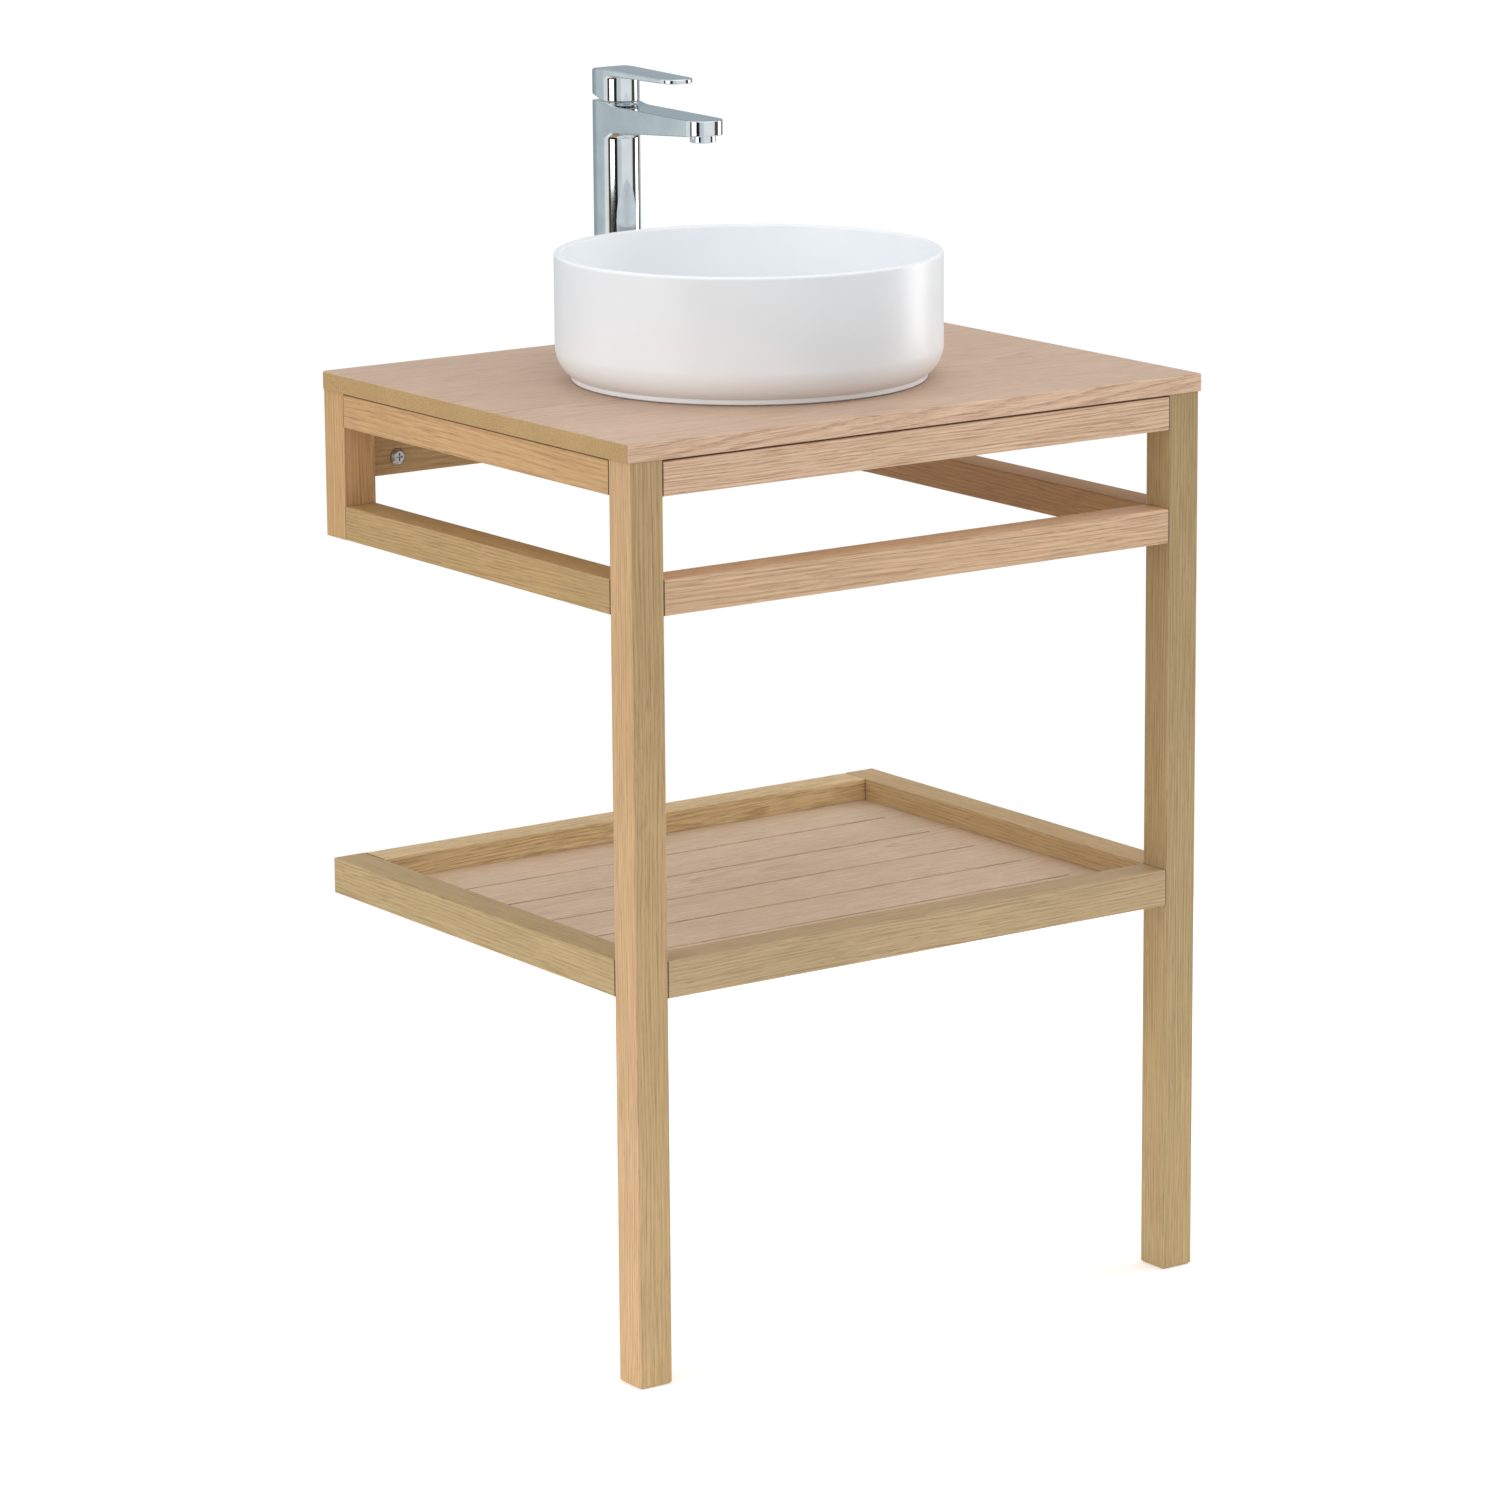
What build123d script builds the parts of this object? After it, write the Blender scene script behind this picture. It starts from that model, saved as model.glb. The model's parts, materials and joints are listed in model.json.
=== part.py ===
from build123d import *
import math
import os

# A round ceramic vessel basin on an oak washstand, with a tall single-lever mixer and a push waste.
# The washstand stands on two front legs and is screwed to the wall at the back.
# Frame: origin on the floor line of the wall, midway between the sides. X runs to the right as seen
# from the front, Y into the wall and Z up. Every length is in millimetres.

os.makedirs("parts", exist_ok=True)

# ---- washstand ----
WORKTOP_WIDTH = 600.0
WORKTOP_DEPTH = 480.0
WORKTOP_TOP = 805.0
WORKTOP_THICK = 16.0
WORKTOP_EASE = 1.5
WORKTOP_REAR_CORNER = 6.0
WORKTOP_FRONT_CORNER = 2.0
SIDE_OVERHANG = 3.0
FRONT_OVERHANG = 1.0
STOCK = 32.0
EDGE_EASE = 1.2
FOOT_EASE = 2.0
SHADOW_GAP = 1.5
UPPER_RAIL_BOTTOM = 758.5
LOWER_RAIL_BOTTOM = 659.0
LOWER_RAIL_HEIGHT = 30.0
BATTEN_HEIGHT = 78.0
BATTEN_THICK = 20.0
SHELF_BOTTOM = 335.0
SHELF_BAR_HEIGHT = 32.0
SHELF_FLOOR_TOP = 347.0
SHELF_FLOOR_THICK = 10.0
SHELF_TONGUE = 6.0
SHELF_BOARDS = 6
SHELF_GROOVE_WIDTH = 3.0
SHELF_GROOVE_DEPTH = 2.5
SHELF_GROOVE_STOP = 28.0
DOWEL_RADIUS = 4.0
DOWEL_IN_POST = 11.0
DOWEL_IN_RAIL = 24.0
DOWEL_PLAY = 0.1
DOWEL_SPREAD = 8.0
BATTEN_DOWEL_SPREAD = 25.0
TOP_SCREW_LENGTH = 38.0
TOP_SCREW_RADIUS = 2.0
TOP_SCREW_HEAD_RADIUS = 4.0
TOP_SCREW_FROM_END = 70.0
TOP_SCREW_FRONT_SPREAD = 150.0
WALL_SCREW_X = 235.0
WALL_SCREW_UP = 15.5
WALL_SCREW_RADIUS = 3.0
WALL_SCREW_SHANK_RADIUS = 2.15
WALL_SCREW_HOLE_RADIUS = 3.25
WALL_SCREW_HEAD_RADIUS = 7.5
WALL_SCREW_HEAD_HEIGHT = 3.5
WALL_SCREW_IN_WALL = 45.0

# ---- basin ----
FITTINGS_X = -23.0
BASIN_Y = -258.0
BASIN_RADIUS = 168.0
BASIN_HEIGHT = 110.0
BASIN_WALL = 6.5
BASIN_OUTER_CORNER = 30.0
BASIN_INNER_CORNER = 30.0
BASIN_FOOT_RADIUS = 155.0
BASIN_FOOT_HEIGHT = 4.5
BASIN_FOOT_WIDTH = 8.0
BASIN_FOOT_STEP = 0.8
BASIN_WALL_LEAN = 1.5
BASIN_RIM_ROUND = 2.8
BASIN_FLOOR_EDGE = 15.0
BASIN_FLOOR_SEAT = 10.5
BASIN_SEAT_RADIUS = 33.0
BASIN_HOLE_RADIUS = 22.5
BASIN_SEAL_THICK = 1.0

# ---- waste, 1 1/4 inch ----
WASTE_TUBE_RADIUS = 20.95
WASTE_TUBE_BORE = 17.5
WASTE_MOUTH_RADIUS = 19.0
WASTE_FLANGE_RADIUS = 31.5
WASTE_FLANGE_THICK = 3.0
WASTE_GASKET_THICK = 1.5
WASTE_TAIL_LENGTH = 74.0
WASTE_TRAP_LENGTH = 20.0
WASTE_RELIEF_WIDTH = 2.0
WASTE_RELIEF_DEPTH = 1.0
WASTE_HOLE_RADIUS = 24.0
WASTE_NUT_HEIGHT = 10.0
WASTE_NUT_CORNER = 31.0
WASTE_GASKET_RADIUS = 34.0
WASTE_WASHER_RADIUS = 33.0
WASTE_RING_PLAY = 0.4
UNDER_RUBBER_THICK = 3.0
UNDER_WASHER_THICK = 1.5
WASTE_BRIDGE_TOP = -14.0
WASTE_BRIDGE_THICK = 5.0
WASTE_BRIDGE_HUB_RADIUS = 8.5
WASTE_BRIDGE_ARM_HALF = 1.5
WASTE_CLICK_RADIUS = 5.5
WASTE_CLICK_BORE = 3.3
WASTE_CLICK_COLLAR_RADIUS = 7.5
WASTE_CLICK_COLLAR_HEIGHT = 4.0
WASTE_CLICK_LENGTH = 16.0
WASTE_CLICK_FLOOR = 2.0
WASTE_CLICK_DRAIN_RADIUS = 1.0
PLUG_OPEN = 9.0
PLUG_STEM_RADIUS = 3.0
PLUG_RADIUS = 32.0
PLUG_EDGE_HEIGHT = 2.2
PLUG_EDGE_ROUND = 1.6
PLUG_CROWN_RADIUS = 12.0
PLUG_CROWN_HEIGHT = 5.2
PLUG_TOP_HEIGHT = 5.6
PLUG_SPIGOT_RADIUS = 16.0
PLUG_SPIGOT_DEPTH = 6.0
PLUG_LIFT = 0.3
PLUG_SEAL_RADIUS = 18.2

# ---- mixer: heights are above the worktop ----
MIXER_FRONT_CENTRE_Y = -62.0
MIXER_HALF_WIDTH = 17.5
MIXER_SECTION_LENGTH = 21.8
MIXER_REAR_CORNER = 6.0
MIXER_AXIS_BEHIND = 3.0
MIXER_SEAL_THICK = 1.5
MIXER_SEAL_INSET = 0.6
MIXER_BODY_TOP = 222.0
MIXER_SEAM = 0.8
SPOUT_REACH = 128.0
SPOUT_TOP_ROOT = 219.3
SPOUT_TOP_NOSE = 217.0
SPOUT_UNDER_ROOT = 195.5
SPOUT_UNDER_NOSE = 204.0
COLUMN_BORE = 11.2
INLET_BLOCK_BOTTOM = 176.0
INLET_SPREAD = 5.6
INLET_RADIUS = 4.45
INLET_DEPTH = 8.0
PORT_RADIUS = 2.4
CARTRIDGE_RADIUS = 12.5
CARTRIDGE_BOTTOM = 188.0
CARTRIDGE_SHOULDER = 213.0
CARTRIDGE_TOP = 220.5
CARTRIDGE_NECK_RADIUS = 9.2
CARTRIDGE_NECK_BORE = 7.3
CARTRIDGE_CHAMBER_RADIUS = 10.9
CARTRIDGE_CHAMBER_BOTTOM = 190.5
CARTRIDGE_CHAMBER_TOP = 212.0
CARTRIDGE_NUT_RADIUS = 13.6
CARTRIDGE_NUT_TOP = 221.4
CARTRIDGE_NOTCH_DEPTH = 2.0
FIT_GAP = 0.1
THREAD_PLAY = 0.05
MOVING_PLAY = 0.3
FIXED_DISC_THICK = 3.5
MOVING_DISC_HALF_X = 8.4
MOVING_DISC_HALF_Y = 5.2
MOVING_DISC_THICK = 4.9
TURRET_BOTTOM = 204.0
TURRET_FLANGE_TOP = 211.5
TURRET_SLOT_LONG = 7.2
TURRET_SLOT_SHORT = 3.6
PIN_RADIUS = 1.5
LIFT_PIVOT = 212.5
LIFT_ANGLE = 17.0
STEM_HALF = 3.0
STEM_CORNER = 0.6
STEM_BOTTOM = 205.0
STEM_NECK_RADIUS = 1.7
STEM_TOP = 240.0
STEM_BALL_RADIUS = 2.5
STEM_BALL_HEIGHT = 196.6
WATERWAY_RADIUS = 3.6
WATERWAY_ROOT = 201.5
WATERWAY_NOSE = 208.5
AERATOR_RADIUS = 11.4
AERATOR_BOTTOM = 197.2
AERATOR_SEAT = 204.4
AERATOR_THREAD_RADIUS = 10.3
AERATOR_THREAD_TOP = 209.5
AERATOR_BORE_TOP = 211.0
AERATOR_MOUTH_RADIUS = 9.3
AERATOR_BORE_RADIUS = 8.8
AERATOR_LIP = 1.2
AERATOR_FLAT_DEPTH = 0.7
AERATOR_FLAT_HALF = 4.0
AERATOR_FLAT_HEIGHT = 3.4
JET_PLATE_RADIUS = 8.7
JET_PLATE_THICK = 1.8
JET_CUP_INSIDE = 7.2
JET_CUP_HEIGHT = 9.8
JET_HOLE_RADIUS = 0.8
JET_PITCH = 2.6
LEVER_TOP = 251.0
LEVER_TIP_TOP = 249.3
LEVER_PADDLE_UNDER = 245.2
LEVER_TOP_CORNER = 8.0
LEVER_REACH = 105.0
LEVER_TIP_HALF_WIDTH = 15.5
LEVER_TIP_ROUND = 17.0
LEVER_SHELL = 3.0
LEVER_CAVITY_TOP = 230.0
LEVER_SOCKET_PLAY = 0.08
LEVER_TIP_CLEARANCE = 1.5
GRUB_HEIGHT = 236.0
GRUB_RADIUS = 2.0
GRUB_LENGTH = 6.0
INDEX_RADIUS = 3.0
INDEX_DEPTH = 2.5
TAIL_RADIUS = 13.2
TAIL_DEPTH = 12.5
TAIL_LENGTH = 60.0
TAIL_HOLE_RADIUS = 14.5
TAIL_WASHER_RADIUS = 21.0
TAIL_NUT_HEIGHT = 12.0
TAIL_NUT_RADIUS = 22.0

# ---- worked out from the sizes above ----
FRAME_TOP = WORKTOP_TOP - WORKTOP_THICK
RAIL_TOP = FRAME_TOP - SHADOW_GAP
FRAME_HALF = WORKTOP_WIDTH / 2 - SIDE_OVERHANG
FRAME_FRONT = -(WORKTOP_DEPTH - FRONT_OVERHANG)
LEG_REAR = FRAME_FRONT + STOCK
INNER_HALF = FRAME_HALF - STOCK
SHELF_TOP = SHELF_BOTTOM + SHELF_BAR_HEIGHT
BATTEN_BOTTOM = RAIL_TOP - BATTEN_HEIGHT
BASIN_Z = WORKTOP_TOP + BASIN_SEAL_THICK
MIXER_AXIS_Y = MIXER_FRONT_CENTRE_Y + MIXER_AXIS_BEHIND
MIXER_REAR_Y = MIXER_FRONT_CENTRE_Y + MIXER_SECTION_LENGTH
MIXER_FRONT_Y = MIXER_FRONT_CENTRE_Y - MIXER_HALF_WIDTH
NOSE_Y = MIXER_FRONT_CENTRE_Y - SPOUT_REACH
HUB_BOTTOM = MIXER_BODY_TOP + MIXER_SEAM


# ---- small helpers ----
def block(x, y, z):
    """A box between low and high values on each axis."""
    size = (x[1] - x[0], y[1] - y[0], z[1] - z[0])
    centre = ((x[0] + x[1]) / 2, (y[0] + y[1]) / 2, (z[0] + z[1]) / 2)
    return Pos(*centre) * Box(*size)


def rod(start, direction, radius, length):
    """A cylinder from a start point along a direction."""
    flat = Circle(radius)
    return extrude(Plane(origin=start, z_dir=direction) * flat, length)


def tube(centre, z, outer, inner):
    """An upright ring between two heights."""
    ring = Circle(outer) - Circle(inner)
    return Pos(centre[0], centre[1], z[0]) * extrude(ring, z[1] - z[0])


def rounded(sketch, rounds):
    """Rounds some corners of a flat outline; rounds holds (corner point, radius)."""
    for corner, radius in rounds:
        vertex = sketch.vertices().sort_by_distance((corner[0], corner[1], 0))[0]
        sketch = fillet(vertex, radius)
    return sketch


def turned(centre, base, outline, rounds=()):
    """A solid of revolution about an upright axis; outline points are (radius, height)."""
    sketch = rounded(Polygon(*outline, align=None), rounds)
    solid = revolve(Plane.XZ * sketch, Axis.Z)
    return Pos(centre[0], centre[1], base) * solid


def prism_from_side(points, rounds=()):
    """A side outline in Y and Z, drawn a little wider along X than the mixer."""
    flat = Plane.YZ * rounded(Polygon(*points, align=None), rounds)
    return Pos(FITTINGS_X, 0, 0) * extrude(flat, MIXER_HALF_WIDTH + 1, both=True)


def eased(piece, axis, radius=EDGE_EASE):
    """Rounds the long edges of a straight piece of wood."""
    return fillet(piece.edges().filter_by(axis), radius)


def joined(pieces):
    """Separate solids kept in one node."""
    return Compound(children=[solid for piece in pieces for solid in piece.solids()])


# ---- dowel joints ----
def dowel_joint(point, into_rail, spread=DOWEL_SPREAD):
    """The two dowels of a butt joint, as (start point, direction)."""
    starts = []
    for lift in (-spread, spread):
        x = point[0] - into_rail[0] * DOWEL_IN_POST
        y = point[1] - into_rail[1] * DOWEL_IN_POST
        starts.append(((x, y, point[2] + lift), into_rail))
    return starts


def dowels(joints):
    """Every dowel of a list of joints."""
    length = DOWEL_IN_POST + DOWEL_IN_RAIL
    return [rod(start, way, DOWEL_RADIUS, length) for joint in joints for start, way in joint]


def drilled(piece, joints):
    """Drills the dowel holes, a little longer and wider than the dowels."""
    length = DOWEL_IN_POST + DOWEL_IN_RAIL + 1.0
    for joint in joints:
        for start, way in joint:
            mouth = (start[0] - way[0] * 0.5, start[1] - way[1] * 0.5, start[2])
            piece = piece - rod(mouth, way, DOWEL_RADIUS + DOWEL_PLAY, length)
    return piece


def side_rail_joints(side, rail_middle):
    x = side * (FRAME_HALF - STOCK / 2)
    rear = dowel_joint((x, -STOCK, rail_middle), (0, -1, 0))
    front = dowel_joint((x, LEG_REAR, rail_middle), (0, 1, 0))
    return rear, front


def cross_rail_joints(y, rail_middle, spread=DOWEL_SPREAD):
    left = dowel_joint((-INNER_HALF, y, rail_middle), (1, 0, 0), spread)
    right = dowel_joint((INNER_HALF, y, rail_middle), (-1, 0, 0), spread)
    return left, right


UPPER_MIDDLE = (UPPER_RAIL_BOTTOM + RAIL_TOP) / 2
LOWER_MIDDLE = LOWER_RAIL_BOTTOM + LOWER_RAIL_HEIGHT / 2
SHELF_MIDDLE = SHELF_BOTTOM + SHELF_BAR_HEIGHT / 2
FRONT_RAIL_Y = FRAME_FRONT + STOCK / 2
SIDE_JOINTS = {
    (side, level): side_rail_joints(side, middle)
    for side in (-1, 1)
    for level, middle in (("upper", UPPER_MIDDLE), ("lower", LOWER_MIDDLE))
}
FRONT_JOINTS = {
    "upper": cross_rail_joints(FRONT_RAIL_Y, UPPER_MIDDLE),
    "lower": cross_rail_joints(FRONT_RAIL_Y, LOWER_MIDDLE),
}
BATTEN_MIDDLE = (BATTEN_BOTTOM + RAIL_TOP) / 2
BATTEN_JOINTS = cross_rail_joints(-BATTEN_THICK / 2, BATTEN_MIDDLE, BATTEN_DOWEL_SPREAD)
SHELF_SIDE_JOINTS = {side: side_rail_joints(side, SHELF_MIDDLE)[1] for side in (-1, 1)}
SHELF_BACK_JOINTS = cross_rail_joints(-STOCK / 2, SHELF_MIDDLE)
SHELF_FRONT_JOINTS = cross_rail_joints(FRONT_RAIL_Y, SHELF_MIDDLE)


# ---- screws ----
def cross_recess(size, depth):
    """A cross-shaped driver recess that opens upwards at the origin."""
    arm = block((-size, size), (-size / 5, size / 5), (-depth, 1.0))
    return arm + Rot(0, 0, 90) * arm


def top_screw_places():
    """Screws up through the upper rails into the worktop."""
    x = FRAME_HALF - STOCK / 2
    near_wall = -STOCK - TOP_SCREW_FROM_END
    near_front = LEG_REAR + TOP_SCREW_FROM_END
    sides = [(side * x, y) for side in (-1, 1) for y in (near_wall, near_front)]
    front = [(side * TOP_SCREW_FRONT_SPREAD, FRONT_RAIL_Y) for side in (-1, 1)]
    return sides + front


def top_screw(x, y, play=0.0):
    """A countersunk wood screw, head down; play makes the hole for it."""
    head = TOP_SCREW_HEAD_RADIUS + play
    shank = TOP_SCREW_RADIUS + play
    sink = head - shank
    outline = [(0, 1.0 - 2 * play), (head, 1.0 - 2 * play), (head, 1.5), (shank, 1.5 + sink)]
    outline += [(shank, TOP_SCREW_LENGTH + play), (0, TOP_SCREW_LENGTH + play)]
    screw = turned((x, y), UPPER_RAIL_BOTTOM, outline)
    if play:
        return screw + rod((x, y, UPPER_RAIL_BOTTOM - 1), (0, 0, 1), head, 2.2)
    recess = Pos(x, y, UPPER_RAIL_BOTTOM + 1.0) * Rot(180, 0, 0) * cross_recess(2.2, 1.4)
    return screw - recess


def screwed(piece):
    """Cuts the worktop screws' holes out of a rail or the worktop."""
    for x, y in top_screw_places():
        piece = piece - top_screw(x, y, play=0.1)
    return piece


def wall_screw(side):
    """A pan-head screw: a plain shank through the batten, then the threaded stretch in the wall."""
    z = BATTEN_BOTTOM + WALL_SCREW_UP
    face = -BATTEN_THICK
    head_outline = [(0, 0), (WALL_SCREW_HEAD_RADIUS, 0), (WALL_SCREW_HEAD_RADIUS, 1.2)]
    head_outline += [(5.0, WALL_SCREW_HEAD_HEIGHT), (0, WALL_SCREW_HEAD_HEIGHT)]
    head = turned((0, 0), 0, head_outline, (((WALL_SCREW_HEAD_RADIUS, 1.2), 2.0),))
    head = head - Pos(0, 0, WALL_SCREW_HEAD_HEIGHT) * cross_recess(3.6, 2.2)
    head = Pos(side * WALL_SCREW_X, face, z) * Rot(90, 0, 0) * head
    shank_start = (side * WALL_SCREW_X, face - 0.5, z)
    shank = rod(shank_start, (0, 1, 0), WALL_SCREW_SHANK_RADIUS, BATTEN_THICK + 1.5)
    thread = rod((side * WALL_SCREW_X, 0, z), (0, 1, 0), WALL_SCREW_RADIUS, WALL_SCREW_IN_WALL)
    return head + shank + thread


# ---- washstand pieces ----
def worktop():
    board = block(
        (-WORKTOP_WIDTH / 2, WORKTOP_WIDTH / 2), (-WORKTOP_DEPTH, 0), (FRAME_TOP, WORKTOP_TOP)
    )
    uprights = board.edges().filter_by(Axis.Z)
    rear = uprights.group_by(Axis.Y)[-1]
    board = fillet(rear, WORKTOP_REAR_CORNER)
    front = board.edges().filter_by(Axis.Z).group_by(Axis.Y)[0]
    board = fillet(front, WORKTOP_FRONT_CORNER)
    rims = board.faces().sort_by(Axis.Z)[-1].edges() + board.faces().sort_by(Axis.Z)[0].edges()
    board = fillet(rims, WORKTOP_EASE)
    for y, radius in ((BASIN_Y, WASTE_HOLE_RADIUS), (MIXER_AXIS_Y, TAIL_HOLE_RADIUS)):
        board = board - rod((FITTINGS_X, y, FRAME_TOP - 1), (0, 0, 1), radius, WORKTOP_THICK + 2)
    return screwed(board)


def side_span(side, width=STOCK):
    """The X range of a piece whose outer face is flush with the frame's side."""
    outer = side * FRAME_HALF
    inner = side * (FRAME_HALF - width)
    return (min(outer, inner), max(outer, inner))


def front_leg(side):
    leg = block(side_span(side), (FRAME_FRONT, LEG_REAR), (0, FRAME_TOP))
    leg = chamfer(leg.faces().sort_by(Axis.Z)[0].edges(), FOOT_EASE)
    leg = eased(leg, Axis.Z)
    joints = [SIDE_JOINTS[side, level][1] for level in ("upper", "lower")]
    which = 0 if side < 0 else 1
    joints += [FRONT_JOINTS[level][which] for level in ("upper", "lower")]
    joints += [SHELF_SIDE_JOINTS[side], SHELF_FRONT_JOINTS[which]]
    return drilled(leg, joints)


def rear_post(side):
    post = block(side_span(side), (-STOCK, 0), (LOWER_RAIL_BOTTOM, FRAME_TOP))
    post = eased(post, Axis.Z)
    joints = [SIDE_JOINTS[side, level][0] for level in ("upper", "lower")]
    joints.append(BATTEN_JOINTS[0 if side < 0 else 1])
    return drilled(post, joints)


def rail_heights(level):
    if level == "upper":
        return (UPPER_RAIL_BOTTOM, RAIL_TOP)
    return (LOWER_RAIL_BOTTOM, LOWER_RAIL_BOTTOM + LOWER_RAIL_HEIGHT)


def side_rail(side, level):
    rail = block(side_span(side), (LEG_REAR, -STOCK), rail_heights(level))
    rail = drilled(eased(rail, Axis.Y), SIDE_JOINTS[side, level])
    return screwed(rail) if level == "upper" else rail


def front_rail(level):
    rail = block((-INNER_HALF, INNER_HALF), (FRAME_FRONT, LEG_REAR), rail_heights(level))
    rail = drilled(eased(rail, Axis.X), FRONT_JOINTS[level])
    return screwed(rail) if level == "upper" else rail


def wall_batten():
    batten = block((-INNER_HALF, INNER_HALF), (-BATTEN_THICK, 0), (BATTEN_BOTTOM, RAIL_TOP))
    batten = drilled(eased(batten, Axis.X), BATTEN_JOINTS)
    for side in (-1, 1):
        mouth = (side * WALL_SCREW_X, -BATTEN_THICK - 1, BATTEN_BOTTOM + WALL_SCREW_UP)
        batten = batten - rod(mouth, (0, 1, 0), WALL_SCREW_HOLE_RADIUS, BATTEN_THICK + 2)
    return batten


# ---- shelf ----
def floor_rebate():
    """The groove around the shelf's inside that holds the floor board's edge."""
    half = INNER_HALF + SHELF_TONGUE
    front = LEG_REAR - SHELF_TONGUE
    rear = -STOCK + SHELF_TONGUE
    heights = (SHELF_FLOOR_TOP - SHELF_FLOOR_THICK, SHELF_FLOOR_TOP + 0.2)
    return block((-half, half), (front, rear), heights)


def shelf_side_bar(side):
    heights = (SHELF_BOTTOM, SHELF_TOP)
    bar = eased(block(side_span(side), (LEG_REAR, 0), heights), Axis.Y)
    which = 0 if side < 0 else 1
    bar = drilled(bar, [SHELF_SIDE_JOINTS[side], SHELF_BACK_JOINTS[which]])
    return bar - floor_rebate()


def shelf_cross_bar(y, joints):
    bar = block((-INNER_HALF, INNER_HALF), y, (SHELF_BOTTOM, SHELF_TOP))
    return drilled(eased(bar, Axis.X), joints) - floor_rebate()


def shelf_floor():
    """One board with stopped grooves that divide it into equal strips."""
    play = 0.3
    half = INNER_HALF + SHELF_TONGUE - play
    front = LEG_REAR - SHELF_TONGUE + play
    rear = -STOCK + SHELF_TONGUE - play
    bottom = SHELF_FLOOR_TOP - SHELF_FLOOR_THICK
    board = block((-half, half), (front, rear), (bottom, SHELF_FLOOR_TOP))
    leg_inside = LEG_REAR + play
    for side in (-1, 1):
        corner_x = (side * (INNER_HALF - play), side * (FRAME_HALF + 1))
        notch = block((min(corner_x), max(corner_x)), (front - 1, leg_inside), (bottom - 1, SHELF_TOP))
        board = board - notch
    strip = (-STOCK - LEG_REAR) / SHELF_BOARDS
    reach = INNER_HALF - SHELF_GROOVE_STOP
    for number in range(1, SHELF_BOARDS):
        y = LEG_REAR + number * strip
        slot = block(
            (-reach, reach),
            (y - SHELF_GROOVE_WIDTH / 2, y + SHELF_GROOVE_WIDTH / 2),
            (SHELF_FLOOR_TOP - SHELF_GROOVE_DEPTH, SHELF_FLOOR_TOP + 1),
        )
        board = board - fillet(slot.edges().filter_by(Axis.Z), SHELF_GROOVE_WIDTH / 2 - 0.1)
    return board


# ---- basin ----
def basin():
    corner = BASIN_OUTER_CORNER
    centre_z = BASIN_FOOT_HEIGHT + math.sqrt(
        corner**2 - (BASIN_FOOT_RADIUS - (BASIN_RADIUS - corner)) ** 2
    )
    inner = BASIN_RADIUS - BASIN_WALL
    inner_foot = inner - BASIN_WALL_LEAN
    foot_in = BASIN_FOOT_RADIUS - BASIN_FOOT_WIDTH
    foot_out = BASIN_FOOT_RADIUS - BASIN_FOOT_STEP
    turn = math.acos((BASIN_FOOT_RADIUS - (BASIN_RADIUS - corner)) / corner) / 2
    middle = (
        BASIN_RADIUS - corner + corner * math.cos(turn),
        centre_z - corner * math.sin(turn),
    )
    outside = [
        Polyline(
            (BASIN_HOLE_RADIUS, BASIN_FOOT_HEIGHT),
            (foot_in, BASIN_FOOT_HEIGHT),
            (foot_in, 0),
            (foot_out, 0),
            (foot_out, BASIN_FOOT_HEIGHT),
            (BASIN_FOOT_RADIUS, BASIN_FOOT_HEIGHT),
        ),
        ThreePointArc((BASIN_FOOT_RADIUS, BASIN_FOOT_HEIGHT), middle, (BASIN_RADIUS, centre_z)),
        Polyline(
            (BASIN_RADIUS, centre_z),
            (BASIN_RADIUS, BASIN_HEIGHT),
            (inner, BASIN_HEIGHT),
            (inner_foot, BASIN_FLOOR_EDGE),
            (BASIN_SEAT_RADIUS + 2, BASIN_FLOOR_SEAT + 1.5),
            (BASIN_SEAT_RADIUS, BASIN_FLOOR_SEAT),
            (BASIN_HOLE_RADIUS, BASIN_FLOOR_SEAT),
            (BASIN_HOLE_RADIUS, BASIN_FOOT_HEIGHT),
        ),
    ]
    section = make_face([edge for line in outside for edge in line.edges()])
    rounds = (
        ((inner_foot, BASIN_FLOOR_EDGE), BASIN_INNER_CORNER),
        ((BASIN_RADIUS, BASIN_HEIGHT), BASIN_RIM_ROUND),
        ((inner, BASIN_HEIGHT), BASIN_RIM_ROUND),
    )
    section = rounded(section, rounds)
    return Pos(FITTINGS_X, BASIN_Y, BASIN_Z) * revolve(Plane.XZ * section, Axis.Z)


def basin_seal():
    z = (WORKTOP_TOP, BASIN_Z)
    outer = BASIN_FOOT_RADIUS - 2.0
    return tube((FITTINGS_X, BASIN_Y), z, outer, BASIN_FOOT_RADIUS - BASIN_FOOT_WIDTH + 1.0)


# ---- waste: heights in these functions are above the basin's foot ----
WASTE_CENTRE = (FITTINGS_X, BASIN_Y)
WASTE_FLANGE_BOTTOM = BASIN_FLOOR_SEAT + WASTE_GASKET_THICK
WASTE_FLANGE_TOP = WASTE_FLANGE_BOTTOM + WASTE_FLANGE_THICK
WORKTOP_UNDERSIDE = FRAME_TOP - BASIN_Z


def waste_ring(low, high, outer, inner):
    return tube(WASTE_CENTRE, (BASIN_Z + low, BASIN_Z + high), outer, inner)


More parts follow.
